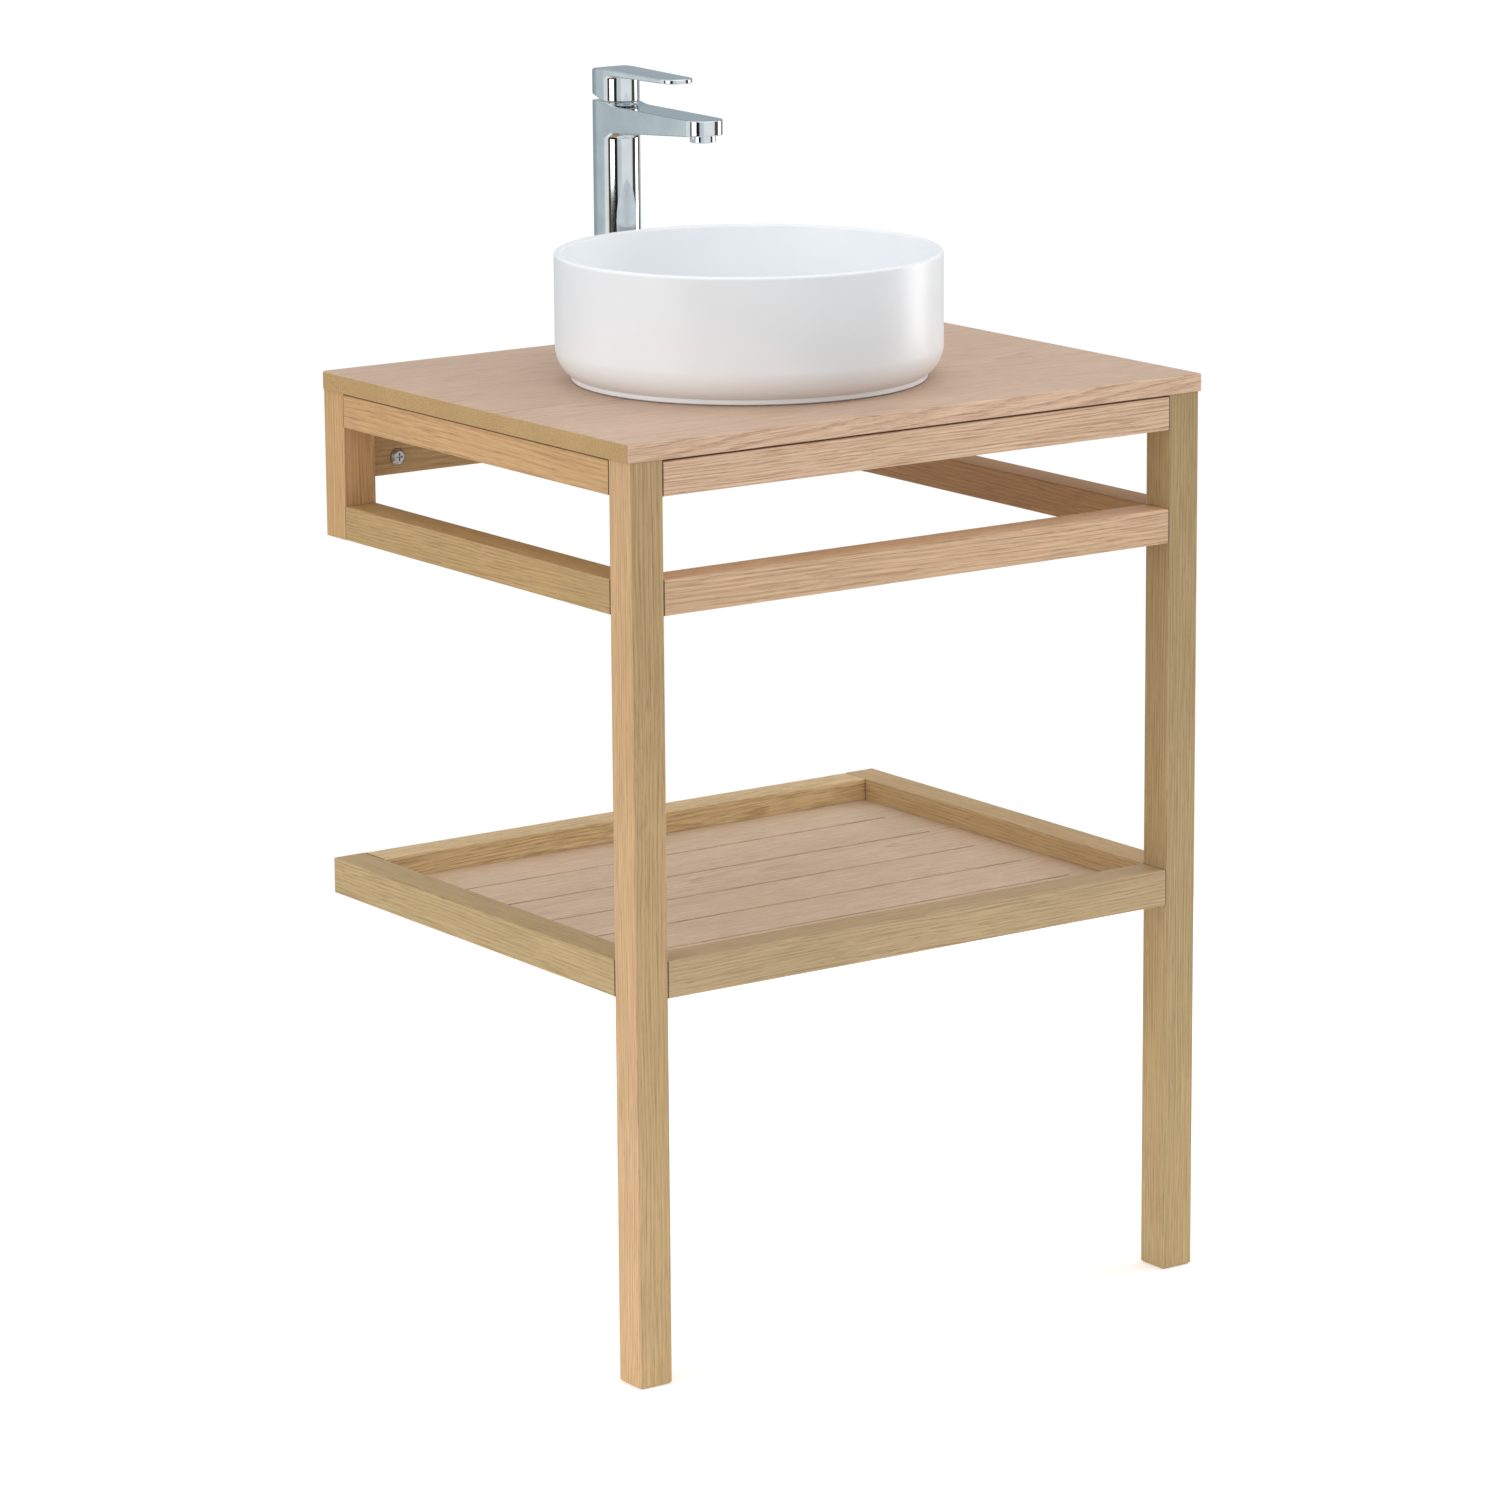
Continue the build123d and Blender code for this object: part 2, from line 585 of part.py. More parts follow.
def waste_body():
    """Flange, threaded tail and the bridge that holds the click cartridge.

    A relief groove parts the stretch that the trap screws onto from the stretch for the nut.
    """
    bottom = WORKTOP_UNDERSIDE - (WASTE_TAIL_LENGTH - WORKTOP_THICK)
    relief = bottom + WASTE_TRAP_LENGTH
    outline = [
        (WASTE_MOUTH_RADIUS, WASTE_FLANGE_TOP),
        (WASTE_FLANGE_RADIUS - 1.5, WASTE_FLANGE_TOP),
        (WASTE_FLANGE_RADIUS, WASTE_FLANGE_TOP - 1.5),
        (WASTE_FLANGE_RADIUS, WASTE_FLANGE_BOTTOM),
        (WASTE_TUBE_RADIUS, WASTE_FLANGE_BOTTOM),
        (WASTE_TUBE_RADIUS, relief + WASTE_RELIEF_WIDTH),
        (WASTE_TUBE_RADIUS - WASTE_RELIEF_DEPTH, relief + WASTE_RELIEF_WIDTH),
        (WASTE_TUBE_RADIUS - WASTE_RELIEF_DEPTH, relief),
        (WASTE_TUBE_RADIUS, relief),
        (WASTE_TUBE_RADIUS, bottom),
        (WASTE_TUBE_BORE, bottom),
        (WASTE_TUBE_BORE, 0),
        (WASTE_MOUTH_RADIUS, 3.0),
    ]
    body = turned(WASTE_CENTRE, BASIN_Z, outline)
    low = WASTE_BRIDGE_TOP - WASTE_BRIDGE_THICK
    hub_bore = WASTE_CLICK_RADIUS + THREAD_PLAY
    hub = waste_ring(low, WASTE_BRIDGE_TOP, WASTE_BRIDGE_HUB_RADIUS, hub_bore)
    arm_x = (WASTE_BRIDGE_HUB_RADIUS - 0.5, WASTE_TUBE_BORE + 1.0)
    arm_y = (-WASTE_BRIDGE_ARM_HALF, WASTE_BRIDGE_ARM_HALF)
    for turn in (0, 120, 240):
        arm = block(arm_x, arm_y, (low, WASTE_BRIDGE_TOP))
        hub = hub + Pos(*WASTE_CENTRE, BASIN_Z) * Rot(0, 0, turn) * arm
    return body + hub


def waste_click_housing():
    """The click cartridge's outer tube, screwed into the bridge."""
    top = WASTE_BRIDGE_TOP
    low = top - WASTE_BRIDGE_THICK - WASTE_CLICK_LENGTH
    collar_top = top + WASTE_CLICK_COLLAR_HEIGHT
    collar = waste_ring(top, collar_top, WASTE_CLICK_COLLAR_RADIUS, WASTE_CLICK_BORE)
    barrel = waste_ring(low, top, WASTE_CLICK_RADIUS, WASTE_CLICK_BORE)
    floor = waste_ring(low - WASTE_CLICK_FLOOR, low, WASTE_CLICK_RADIUS, WASTE_CLICK_DRAIN_RADIUS)
    return collar + barrel + floor


def waste_plug_stem():
    """The rod that rises and falls inside the click cartridge."""
    click_floor = WASTE_BRIDGE_TOP - WASTE_BRIDGE_THICK - WASTE_CLICK_LENGTH
    low = click_floor + PLUG_OPEN + 1.0
    top = WASTE_FLANGE_TOP + PLUG_OPEN + PLUG_EDGE_HEIGHT + 0.8
    return rod((*WASTE_CENTRE, BASIN_Z + low), (0, 0, 1), PLUG_STEM_RADIUS, top - low)


def waste_plug_cap():
    """A domed cap as wide as the flange, with a spigot that carries the seal."""
    base = WASTE_FLANGE_TOP + PLUG_OPEN
    hole = PLUG_STEM_RADIUS + FIT_GAP
    hole_top = base + PLUG_EDGE_HEIGHT + 1.1
    outline = [
        (hole, base - PLUG_SPIGOT_DEPTH),
        (PLUG_SPIGOT_RADIUS, base - PLUG_SPIGOT_DEPTH),
        (PLUG_SPIGOT_RADIUS, base + PLUG_LIFT),
        (PLUG_RADIUS, base + PLUG_LIFT),
        (PLUG_RADIUS, base + PLUG_EDGE_HEIGHT),
        (PLUG_CROWN_RADIUS, base + PLUG_CROWN_HEIGHT),
        (0, base + PLUG_TOP_HEIGHT),
        (0, hole_top),
        (hole, hole_top),
    ]
    rounds = (((PLUG_RADIUS, base + PLUG_EDGE_HEIGHT), PLUG_EDGE_ROUND),)
    return turned(WASTE_CENTRE, BASIN_Z, outline, rounds)


def waste_plug_seal():
    base = WASTE_FLANGE_TOP + PLUG_OPEN
    inside = PLUG_SPIGOT_RADIUS + THREAD_PLAY
    return waste_ring(base - 4.0, base - 1.5, PLUG_SEAL_RADIUS, inside)


def waste_rings():
    """The gaskets and the washer that the waste's nut squeezes, as node name to solid."""
    bore = WASTE_TUBE_RADIUS + WASTE_RING_PLAY
    flange = WASTE_FLANGE_RADIUS - 1.5
    rubber_low = WORKTOP_UNDERSIDE - UNDER_RUBBER_THICK
    washer_low = rubber_low - UNDER_WASHER_THICK
    sizes = {
        "waste_flange_gasket": (BASIN_FLOOR_SEAT, WASTE_FLANGE_BOTTOM, flange),
        "waste_basin_gasket": (-BASIN_SEAL_THICK, BASIN_FOOT_HEIGHT, WASTE_GASKET_RADIUS),
        "waste_under_gasket": (rubber_low, WORKTOP_UNDERSIDE, WASTE_WASHER_RADIUS),
        "waste_washer": (washer_low, rubber_low, WASTE_WASHER_RADIUS),
    }
    return {name: waste_ring(low, high, outer, bore) for name, (low, high, outer) in sizes.items()}


def waste_nut():
    """A hexagon nut that pulls the waste tight from below."""
    low = WORKTOP_UNDERSIDE - UNDER_RUBBER_THICK - UNDER_WASHER_THICK - WASTE_NUT_HEIGHT
    flat = RegularPolygon(WASTE_NUT_CORNER, 6) - Circle(WASTE_TUBE_RADIUS + THREAD_PLAY)
    return Pos(*WASTE_CENTRE, BASIN_Z + low) * extrude(flat, WASTE_NUT_HEIGHT)


# ---- mixer ----
def at_mixer(shape, z=0.0):
    """Moves a shape made on the mixer's axis to its place above the worktop."""
    return Pos(FITTINGS_X, MIXER_AXIS_Y, WORKTOP_TOP + z) * shape


def mixer_section(inset=0.0):
    """The column's plan: a round front, flat sides and a flat rear with rounded corners."""
    half = MIXER_HALF_WIDTH - inset
    rear = MIXER_REAR_Y - inset
    front = MIXER_FRONT_CENTRE_Y
    back = Polyline((-half, front), (-half, rear), (half, rear), (half, front))
    nose = ThreePointArc((half, front), (0, front - half), (-half, front))
    face = make_face(back.edges() + nose.edges())
    corners = face.vertices().group_by(Axis.Y)[-1]
    return Pos(FITTINGS_X, 0, 0) * fillet(corners, max(MIXER_REAR_CORNER - inset, 1.0))


def mixer_prism(low, high, inset=0.0):
    return Pos(0, 0, WORKTOP_TOP + low) * extrude(mixer_section(inset), high - low)


def spout_plan():
    """The spout seen from above: parallel sides and a round nose."""
    half = MIXER_HALF_WIDTH
    root = MIXER_FRONT_CENTRE_Y
    sides = Polyline((half, NOSE_Y), (half, root), (-half, root), (-half, NOSE_Y))
    nose = ThreePointArc((-half, NOSE_Y), (0, NOSE_Y - half), (half, NOSE_Y))
    return Pos(FITTINGS_X, 0, 0) * make_face(sides.edges() + nose.edges())


def spout():
    """The spout's solid: nearly level on top, rising underneath towards the nose."""
    tip = NOSE_Y - MIXER_HALF_WIDTH
    root = MIXER_FRONT_CENTRE_Y
    side = [
        (root, WORKTOP_TOP + SPOUT_UNDER_ROOT),
        (MIXER_FRONT_Y, WORKTOP_TOP + SPOUT_UNDER_ROOT),
        (tip, WORKTOP_TOP + SPOUT_UNDER_NOSE),
        (tip, WORKTOP_TOP + SPOUT_TOP_NOSE),
        (root, WORKTOP_TOP + SPOUT_TOP_ROOT),
    ]
    slab = prism_from_side(side)
    plan = Pos(0, 0, WORKTOP_TOP + SPOUT_UNDER_ROOT - 1) * extrude(spout_plan(), 40)
    return slab & plan


def waterway():
    """The channel from the cartridge's outlet window to the aerator."""
    start = (0, -CARTRIDGE_RADIUS + 1.0, WATERWAY_ROOT)
    run = NOSE_Y - MIXER_AXIS_Y + CARTRIDGE_RADIUS - 1.0
    rise = WATERWAY_NOSE - WATERWAY_ROOT
    length = math.hypot(run, rise)
    return rod(start, (0, run, rise), WATERWAY_RADIUS, length)


def mixer_body():
    """Column and spout in one casting, bored for the hoses, the cartridge and the water."""
    body = mixer_prism(MIXER_SEAL_THICK, MIXER_BODY_TOP) + spout()
    up = (0, 0, 1)
    cuts = [
        rod((0, 0, 0), up, COLUMN_BORE, INLET_BLOCK_BOTTOM + 1),
        rod((0, 0, 0), up, TAIL_RADIUS + THREAD_PLAY, MIXER_SEAL_THICK + TAIL_DEPTH + 0.5),
        rod((0, 0, INLET_BLOCK_BOTTOM), up, CARTRIDGE_RADIUS + FIT_GAP, 60),
        rod((0, 0, CARTRIDGE_SHOULDER), up, CARTRIDGE_NUT_RADIUS + FIT_GAP, 30),
        waterway(),
    ]
    nose = NOSE_Y - MIXER_AXIS_Y
    cuts.append(rod((0, nose, 190), up, AERATOR_RADIUS + 0.3, AERATOR_SEAT - 190))
    cuts.append(rod((0, nose, 190), up, AERATOR_THREAD_RADIUS + FIT_GAP, AERATOR_BORE_TOP - 190))
    for cut in cuts:
        body = body - at_mixer(cut)
    return body


def mixer_inlet_block():
    """The brass block under the cartridge, with a threaded inlet for each hose."""
    height = CARTRIDGE_BOTTOM - INLET_BLOCK_BOTTOM
    block_body = rod((0, 0, INLET_BLOCK_BOTTOM), (0, 0, 1), CARTRIDGE_RADIUS, height)
    for side in (-1, 1):
        x = side * INLET_SPREAD
        inlet = rod((x, 0, INLET_BLOCK_BOTTOM - 1), (0, 0, 1), INLET_RADIUS, INLET_DEPTH + 1)
        port = rod((x, 0, INLET_BLOCK_BOTTOM), (0, 0, 1), PORT_RADIUS, height + 1)
        block_body = block_body - inlet - port
    return at_mixer(block_body)


def mixer_base_seal():
    seal = mixer_prism(0, MIXER_SEAL_THICK, inset=MIXER_SEAL_INSET)
    return seal - at_mixer(rod((0, 0, -1), (0, 0, 1), TAIL_RADIUS + 1.0, 5))


def mixer_tail():
    """The threaded tube that the hoses pass through and the back nut screws onto."""
    top = MIXER_SEAL_THICK + TAIL_DEPTH
    return at_mixer(tube((0, 0), (-TAIL_LENGTH, top), TAIL_RADIUS, COLUMN_BORE))


def mixer_washer(drop, thick):
    """A washer under the worktop whose top lies that far below it."""
    ring = tube((0, 0), (-drop - thick, -drop), TAIL_WASHER_RADIUS, TAIL_RADIUS + 0.3)
    return at_mixer(ring, -WORKTOP_THICK)


def mixer_nut():
    flat = RegularPolygon(TAIL_NUT_RADIUS, 6) - Circle(TAIL_RADIUS + THREAD_PLAY)
    low = -WORKTOP_THICK - UNDER_RUBBER_THICK - UNDER_WASHER_THICK - TAIL_NUT_HEIGHT
    return at_mixer(extrude(flat, TAIL_NUT_HEIGHT), low)


def cartridge_housing():
    outline = [
        (0, CARTRIDGE_BOTTOM),
        (CARTRIDGE_RADIUS, CARTRIDGE_BOTTOM),
        (CARTRIDGE_RADIUS, CARTRIDGE_SHOULDER),
        (CARTRIDGE_NECK_RADIUS, CARTRIDGE_SHOULDER),
        (CARTRIDGE_NECK_RADIUS, CARTRIDGE_TOP),
        (CARTRIDGE_NECK_BORE, CARTRIDGE_TOP),
        (CARTRIDGE_NECK_BORE, CARTRIDGE_CHAMBER_TOP),
        (CARTRIDGE_CHAMBER_RADIUS, CARTRIDGE_CHAMBER_TOP),
        (CARTRIDGE_CHAMBER_RADIUS, CARTRIDGE_CHAMBER_BOTTOM),
        (0, CARTRIDGE_CHAMBER_BOTTOM),
    ]
    housing = turned((0, 0), 0, outline)
    for side in (-1, 1):
        housing = housing - rod((side * INLET_SPREAD, 0, 180), (0, 0, 1), PORT_RADIUS, 15)
    window = rod((0, -CARTRIDGE_CHAMBER_RADIUS + 1, WATERWAY_ROOT), (0, -1, 0), PORT_RADIUS, 5)
    return at_mixer(housing - window)


def cartridge_fixed_disc():
    radius = CARTRIDGE_CHAMBER_RADIUS - MOVING_PLAY
    disc = rod((0, 0, CARTRIDGE_CHAMBER_BOTTOM), (0, 0, 1), radius, FIXED_DISC_THICK)
    for side in (-1, 1):
        disc = disc - rod((side * INLET_SPREAD, 0, 180), (0, 0, 1), PORT_RADIUS, 20)
    return at_mixer(disc)


def cartridge_moving_disc():
    """The oval disc that slides over the inlet ports as the lever lifts."""
    oval = Ellipse(MOVING_DISC_HALF_X, MOVING_DISC_HALF_Y) - Circle(STEM_BALL_RADIUS + 0.4)
    low = CARTRIDGE_CHAMBER_BOTTOM + FIXED_DISC_THICK + 0.05
    return at_mixer(extrude(oval, MOVING_DISC_THICK), low)


def cartridge_turret():
    """Turns with the lever and holds the pin that the stem rocks on."""
    up = (0, 0, 1)
    flange_height = TURRET_FLANGE_TOP - TURRET_BOTTOM
    wide = rod((0, 0, TURRET_BOTTOM), up, CARTRIDGE_CHAMBER_RADIUS - MOVING_PLAY, flange_height)
    neck_height = CARTRIDGE_TOP - TURRET_BOTTOM
    neck = rod((0, 0, TURRET_BOTTOM), up, CARTRIDGE_NECK_BORE - MOVING_PLAY, neck_height)
    slot = (-STEM_HALF - MOVING_PLAY, STEM_HALF + MOVING_PLAY)
    below = block(slot, (-TURRET_SLOT_LONG, TURRET_SLOT_SHORT), (TURRET_BOTTOM - 1, LIFT_PIVOT))
    above_heights = (LIFT_PIVOT - PIN_RADIUS, CARTRIDGE_TOP + 1)
    above = block(slot, (-TURRET_SLOT_SHORT, CARTRIDGE_NECK_BORE + 1), above_heights)
    pin_hole = rod((-CARTRIDGE_NECK_BORE, 0, LIFT_PIVOT), (1, 0, 0), PIN_RADIUS, 2 * CARTRIDGE_NECK_BORE)
    return at_mixer(wide + neck - below - above - pin_hole)


def cartridge_pin():
    reach = CARTRIDGE_NECK_BORE - 0.8
    return at_mixer(rod((-reach, 0, LIFT_PIVOT), (1, 0, 0), PIN_RADIUS, 2 * reach))


def cartridge_stem():
    """The square stem that the lever clamps onto, with the ball that drives the disc."""
    width = (-STEM_HALF, STEM_HALF)
    square = block(width, width, (STEM_BOTTOM, STEM_TOP))
    square = chamfer(square.edges().filter_by(Axis.Z), STEM_CORNER)
    neck = rod((0, 0, STEM_BALL_HEIGHT), (0, 0, 1), STEM_NECK_RADIUS, STEM_BOTTOM - STEM_BALL_HEIGHT + 1)
    ball = Pos(0, 0, STEM_BALL_HEIGHT) * Sphere(STEM_BALL_RADIUS)
    start = (-STEM_HALF - 1, 0, LIFT_PIVOT)
    pin_hole = rod(start, (1, 0, 0), PIN_RADIUS + THREAD_PLAY, 2 * STEM_HALF + 2)
    return at_mixer(square + neck + ball - pin_hole)


def cartridge_nut():
    z = (CARTRIDGE_SHOULDER, CARTRIDGE_NUT_TOP)
    nut = tube((0, 0), z, CARTRIDGE_NUT_RADIUS, CARTRIDGE_NECK_RADIUS + FIT_GAP)
    notch_z = (CARTRIDGE_NUT_TOP - CARTRIDGE_NOTCH_DEPTH, CARTRIDGE_NUT_TOP + 1)
    notch = block((CARTRIDGE_NECK_RADIUS - 0.2, CARTRIDGE_NUT_RADIUS + 1), (-1.5, 1.5), notch_z)
    for turn in (45, 135, 225, 315):
        nut = nut - Rot(0, 0, turn) * notch
    return at_mixer(nut)


# ---- lever ----
def lever_hub():
    """The hub over the cartridge; its rear lower edge is cut back so that it can tip."""
    tip_angle = math.radians(LIFT_ANGLE + LEVER_TIP_CLEARANCE)
    rise = (MIXER_REAR_Y - MIXER_AXIS_Y) * math.tan(tip_angle)
    base = WORKTOP_TOP + HUB_BOTTOM
    top = WORKTOP_TOP + LEVER_TOP
    side = [
        (MIXER_FRONT_Y - 1, base),
        (MIXER_AXIS_Y, base),
        (MIXER_REAR_Y, base + rise),
        (MIXER_REAR_Y, top),
        (MIXER_FRONT_Y - 1, top),
    ]
    slab = prism_from_side(side, (((MIXER_REAR_Y, top), LEVER_TOP_CORNER),))
    return mixer_prism(HUB_BOTTOM, LEVER_TOP) & slab


def lever_paddle_plan():
    """The paddle seen from above: it narrows a little and ends in half an oval."""
    root = MIXER_FRONT_CENTRE_Y
    tip = MIXER_AXIS_Y - LEVER_REACH
    start = tip + LEVER_TIP_ROUND
    half, narrow = MIXER_HALF_WIDTH, LEVER_TIP_HALF_WIDTH
    straight = Polygon(
        (-half, root), (-narrow, start), (narrow, start), (half, root), align=None
    )
    end = Pos(0, start, 0) * Ellipse(narrow, LEVER_TIP_ROUND)
    return Pos(FITTINGS_X, 0, 0) * (straight + end)


def lever_handle():
    tip = MIXER_AXIS_Y - LEVER_REACH - 1
    side = [
        (MIXER_FRONT_CENTRE_Y, WORKTOP_TOP + LEVER_PADDLE_UNDER - 0.5),
        (tip, WORKTOP_TOP + LEVER_PADDLE_UNDER),
        (tip, WORKTOP_TOP + LEVER_TIP_TOP),
        (MIXER_FRONT_CENTRE_Y, WORKTOP_TOP + LEVER_TOP),
    ]
    slab = prism_from_side(side)
    plan = Pos(0, 0, WORKTOP_TOP + LEVER_PADDLE_UNDER - 2) * extrude(lever_paddle_plan(), 20)
    lever = lever_hub() + (slab & plan)
    lever = lever - mixer_prism(HUB_BOTTOM - 1, LEVER_CAVITY_TOP, inset=LEVER_SHELL)
    socket = STEM_HALF + LEVER_SOCKET_PLAY
    lever = lever - at_mixer(
        block((-socket, socket), (-socket, socket), (LEVER_CAVITY_TOP - 1, STEM_TOP + 0.5))
    )
    rear = MIXER_REAR_Y - MIXER_AXIS_Y
    grub_hole = rod((0, 0, GRUB_HEIGHT), (0, 1, 0), GRUB_RADIUS + THREAD_PLAY, rear)
    lever = lever - at_mixer(grub_hole)
    index_start = (0, rear - INDEX_DEPTH, GRUB_HEIGHT)
    index_hole = rod(index_start, (0, 1, 0), INDEX_RADIUS + THREAD_PLAY, INDEX_DEPTH + 1)
    return lever - at_mixer(index_hole)


def lever_grub_screw():
    start = (0, STEM_HALF + 0.02, GRUB_HEIGHT)
    screw = rod(start, (0, 1, 0), GRUB_RADIUS, GRUB_LENGTH)
    hexagon = Plane(origin=(0, STEM_HALF + GRUB_LENGTH + 0.1, GRUB_HEIGHT), z_dir=(0, -1, 0))
    return at_mixer(screw - extrude(hexagon * RegularPolygon(1.1, 6), 2.5))


def lever_index_plug():
    rear = MIXER_REAR_Y - MIXER_AXIS_Y
    plug = rod((0, rear - INDEX_DEPTH, GRUB_HEIGHT), (0, 1, 0), INDEX_RADIUS, INDEX_DEPTH + 0.2)
    return at_mixer(plug)


# ---- aerator ----
def aerator_housing():
    seat = AERATOR_SEAT - 0.1
    lip = AERATOR_BOTTOM + AERATOR_LIP
    outline = [
        (AERATOR_MOUTH_RADIUS, AERATOR_BOTTOM),
        (AERATOR_RADIUS - 0.8, AERATOR_BOTTOM),
        (AERATOR_RADIUS, AERATOR_BOTTOM + 0.8),
        (AERATOR_RADIUS, seat),
        (AERATOR_THREAD_RADIUS, seat),
        (AERATOR_THREAD_RADIUS, AERATOR_THREAD_TOP),
        (AERATOR_BORE_RADIUS, AERATOR_THREAD_TOP),
        (AERATOR_BORE_RADIUS, lip),
        (AERATOR_MOUTH_RADIUS, lip),
    ]
    ring = turned((0, NOSE_Y - MIXER_AXIS_Y), 0, outline)
    flat_x = (AERATOR_RADIUS - AERATOR_FLAT_DEPTH, AERATOR_RADIUS + 2)
    flat_y = (-AERATOR_FLAT_HALF, AERATOR_FLAT_HALF)
    flat = block(flat_x, flat_y, (AERATOR_BOTTOM, AERATOR_BOTTOM + AERATOR_FLAT_HEIGHT))
    for turn in (0, 180):
        ring = ring - Pos(0, NOSE_Y - MIXER_AXIS_Y, 0) * Rot(0, 0, turn) * flat
    return at_mixer(ring)


def aerator_insert():
    """The plastic jet former: a plate of small holes with a rim."""
    plate = Circle(JET_PLATE_RADIUS)
    for row in range(-2, 3):
        for column in range(-2, 3):
            if abs(row + column) <= 2:
                x = JET_PITCH * (column + row / 2)
                y = JET_PITCH * row * math.sqrt(3) / 2
                plate = plate - Pos(x, y) * Circle(JET_HOLE_RADIUS)
    rim = tube((0, 0), (JET_PLATE_THICK, JET_CUP_HEIGHT), JET_PLATE_RADIUS, JET_CUP_INSIDE)
    cup = extrude(plate, JET_PLATE_THICK) + rim
    return at_mixer(Pos(0, NOSE_Y - MIXER_AXIS_Y, AERATOR_BOTTOM + AERATOR_LIP) * cup)


def aerator_washer():
    z = (AERATOR_THREAD_TOP, AERATOR_BORE_TOP)
    return at_mixer(tube((0, NOSE_Y - MIXER_AXIS_Y), z, AERATOR_THREAD_RADIUS - 0.1, 7.8))


# ---- every node ----
def joint_list(pairs):
    return [joint for pair in pairs for joint in pair]


def all_parts():
    parts = {
        "worktop": worktop(),
        "front_upper_rail": front_rail("upper"),
        "front_lower_rail": front_rail("lower"),
        "wall_batten": wall_batten(),
        "shelf_back_bar": shelf_cross_bar((-STOCK, 0), SHELF_BACK_JOINTS),
        "shelf_front_bar": shelf_cross_bar((FRAME_FRONT, LEG_REAR), SHELF_FRONT_JOINTS),
        "shelf_floor": shelf_floor(),
    }
    for side, name in ((-1, "left"), (1, "right")):
        parts[f"front_{name}_leg"] = front_leg(side)
        parts[f"rear_{name}_post"] = rear_post(side)
        parts[f"{name}_upper_rail"] = side_rail(side, "upper")
        parts[f"{name}_lower_rail"] = side_rail(side, "lower")
        parts[f"shelf_{name}_bar"] = shelf_side_bar(side)
    parts["side_rail_dowels"] = joined(dowels(joint_list(SIDE_JOINTS.values())))
    parts["front_rail_dowels"] = joined(dowels(joint_list(FRONT_JOINTS.values())))
    parts["batten_dowels"] = joined(dowels(BATTEN_JOINTS))
    shelf_joints = [*SHELF_SIDE_JOINTS.values(), *SHELF_BACK_JOINTS, *SHELF_FRONT_JOINTS]
    parts["shelf_dowels"] = joined(dowels(shelf_joints))
    parts["worktop_screws"] = joined([top_screw(x, y) for x, y in top_screw_places()])
    parts["wall_screws"] = joined([wall_screw(side) for side in (-1, 1)])
    parts["basin"] = basin()
    parts["basin_seal"] = basin_seal()
    parts["waste_body"] = waste_body()
    parts.update(waste_rings())
    parts["waste_nut"] = waste_nut()
    parts["waste_click_housing"] = waste_click_housing()
    parts["waste_plug_stem"] = waste_plug_stem()
    parts["waste_plug_cap"] = waste_plug_cap()
    parts["waste_plug_seal"] = waste_plug_seal()
    parts["mixer_body"] = mixer_body()
    parts["mixer_inlet_block"] = mixer_inlet_block()
    parts["mixer_base_seal"] = mixer_base_seal()
    parts["mixer_tail"] = mixer_tail()
    parts["mixer_rubber_washer"] = mixer_washer(0.0, UNDER_RUBBER_THICK)
    parts["mixer_steel_washer"] = mixer_washer(UNDER_RUBBER_THICK, UNDER_WASHER_THICK)
    parts["mixer_back_nut"] = mixer_nut()
    parts["cartridge_housing"] = cartridge_housing()
    parts["cartridge_fixed_disc"] = cartridge_fixed_disc()
    parts["cartridge_moving_disc"] = cartridge_moving_disc()
    parts["cartridge_turret"] = cartridge_turret()
    parts["cartridge_pin"] = cartridge_pin()
    parts["cartridge_stem"] = cartridge_stem()
    parts["cartridge_nut"] = cartridge_nut()
    parts["lever_handle"] = lever_handle()
    parts["lever_grub_screw"] = lever_grub_screw()
    parts["lever_index_plug"] = lever_index_plug()
    parts["aerator_housing"] = aerator_housing()
    parts["aerator_insert"] = aerator_insert()
    parts["aerator_washer"] = aerator_washer()
    return parts


for node, shape in all_parts().items():
    export_step(shape, f"parts/{node}.step")
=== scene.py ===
"""A round ceramic vessel basin and a tall chrome mixer on an oak washstand."""

import json
import math

import bmesh
import bpy
from mathutils import Matrix, Vector


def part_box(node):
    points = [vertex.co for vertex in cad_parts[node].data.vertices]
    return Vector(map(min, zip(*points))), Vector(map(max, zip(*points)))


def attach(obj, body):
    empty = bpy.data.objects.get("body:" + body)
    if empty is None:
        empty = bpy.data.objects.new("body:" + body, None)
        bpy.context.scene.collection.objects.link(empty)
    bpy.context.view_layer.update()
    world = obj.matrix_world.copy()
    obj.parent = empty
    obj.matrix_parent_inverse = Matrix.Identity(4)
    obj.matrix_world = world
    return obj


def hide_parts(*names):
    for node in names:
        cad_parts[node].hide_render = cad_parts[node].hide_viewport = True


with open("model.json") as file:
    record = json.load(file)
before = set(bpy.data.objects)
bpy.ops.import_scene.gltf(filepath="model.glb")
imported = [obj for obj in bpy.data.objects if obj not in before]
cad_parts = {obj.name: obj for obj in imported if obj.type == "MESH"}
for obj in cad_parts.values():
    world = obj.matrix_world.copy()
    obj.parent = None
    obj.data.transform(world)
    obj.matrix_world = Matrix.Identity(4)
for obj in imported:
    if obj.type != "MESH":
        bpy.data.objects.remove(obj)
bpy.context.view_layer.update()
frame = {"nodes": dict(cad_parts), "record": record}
NODES = frame["nodes"]
MM = 0.001

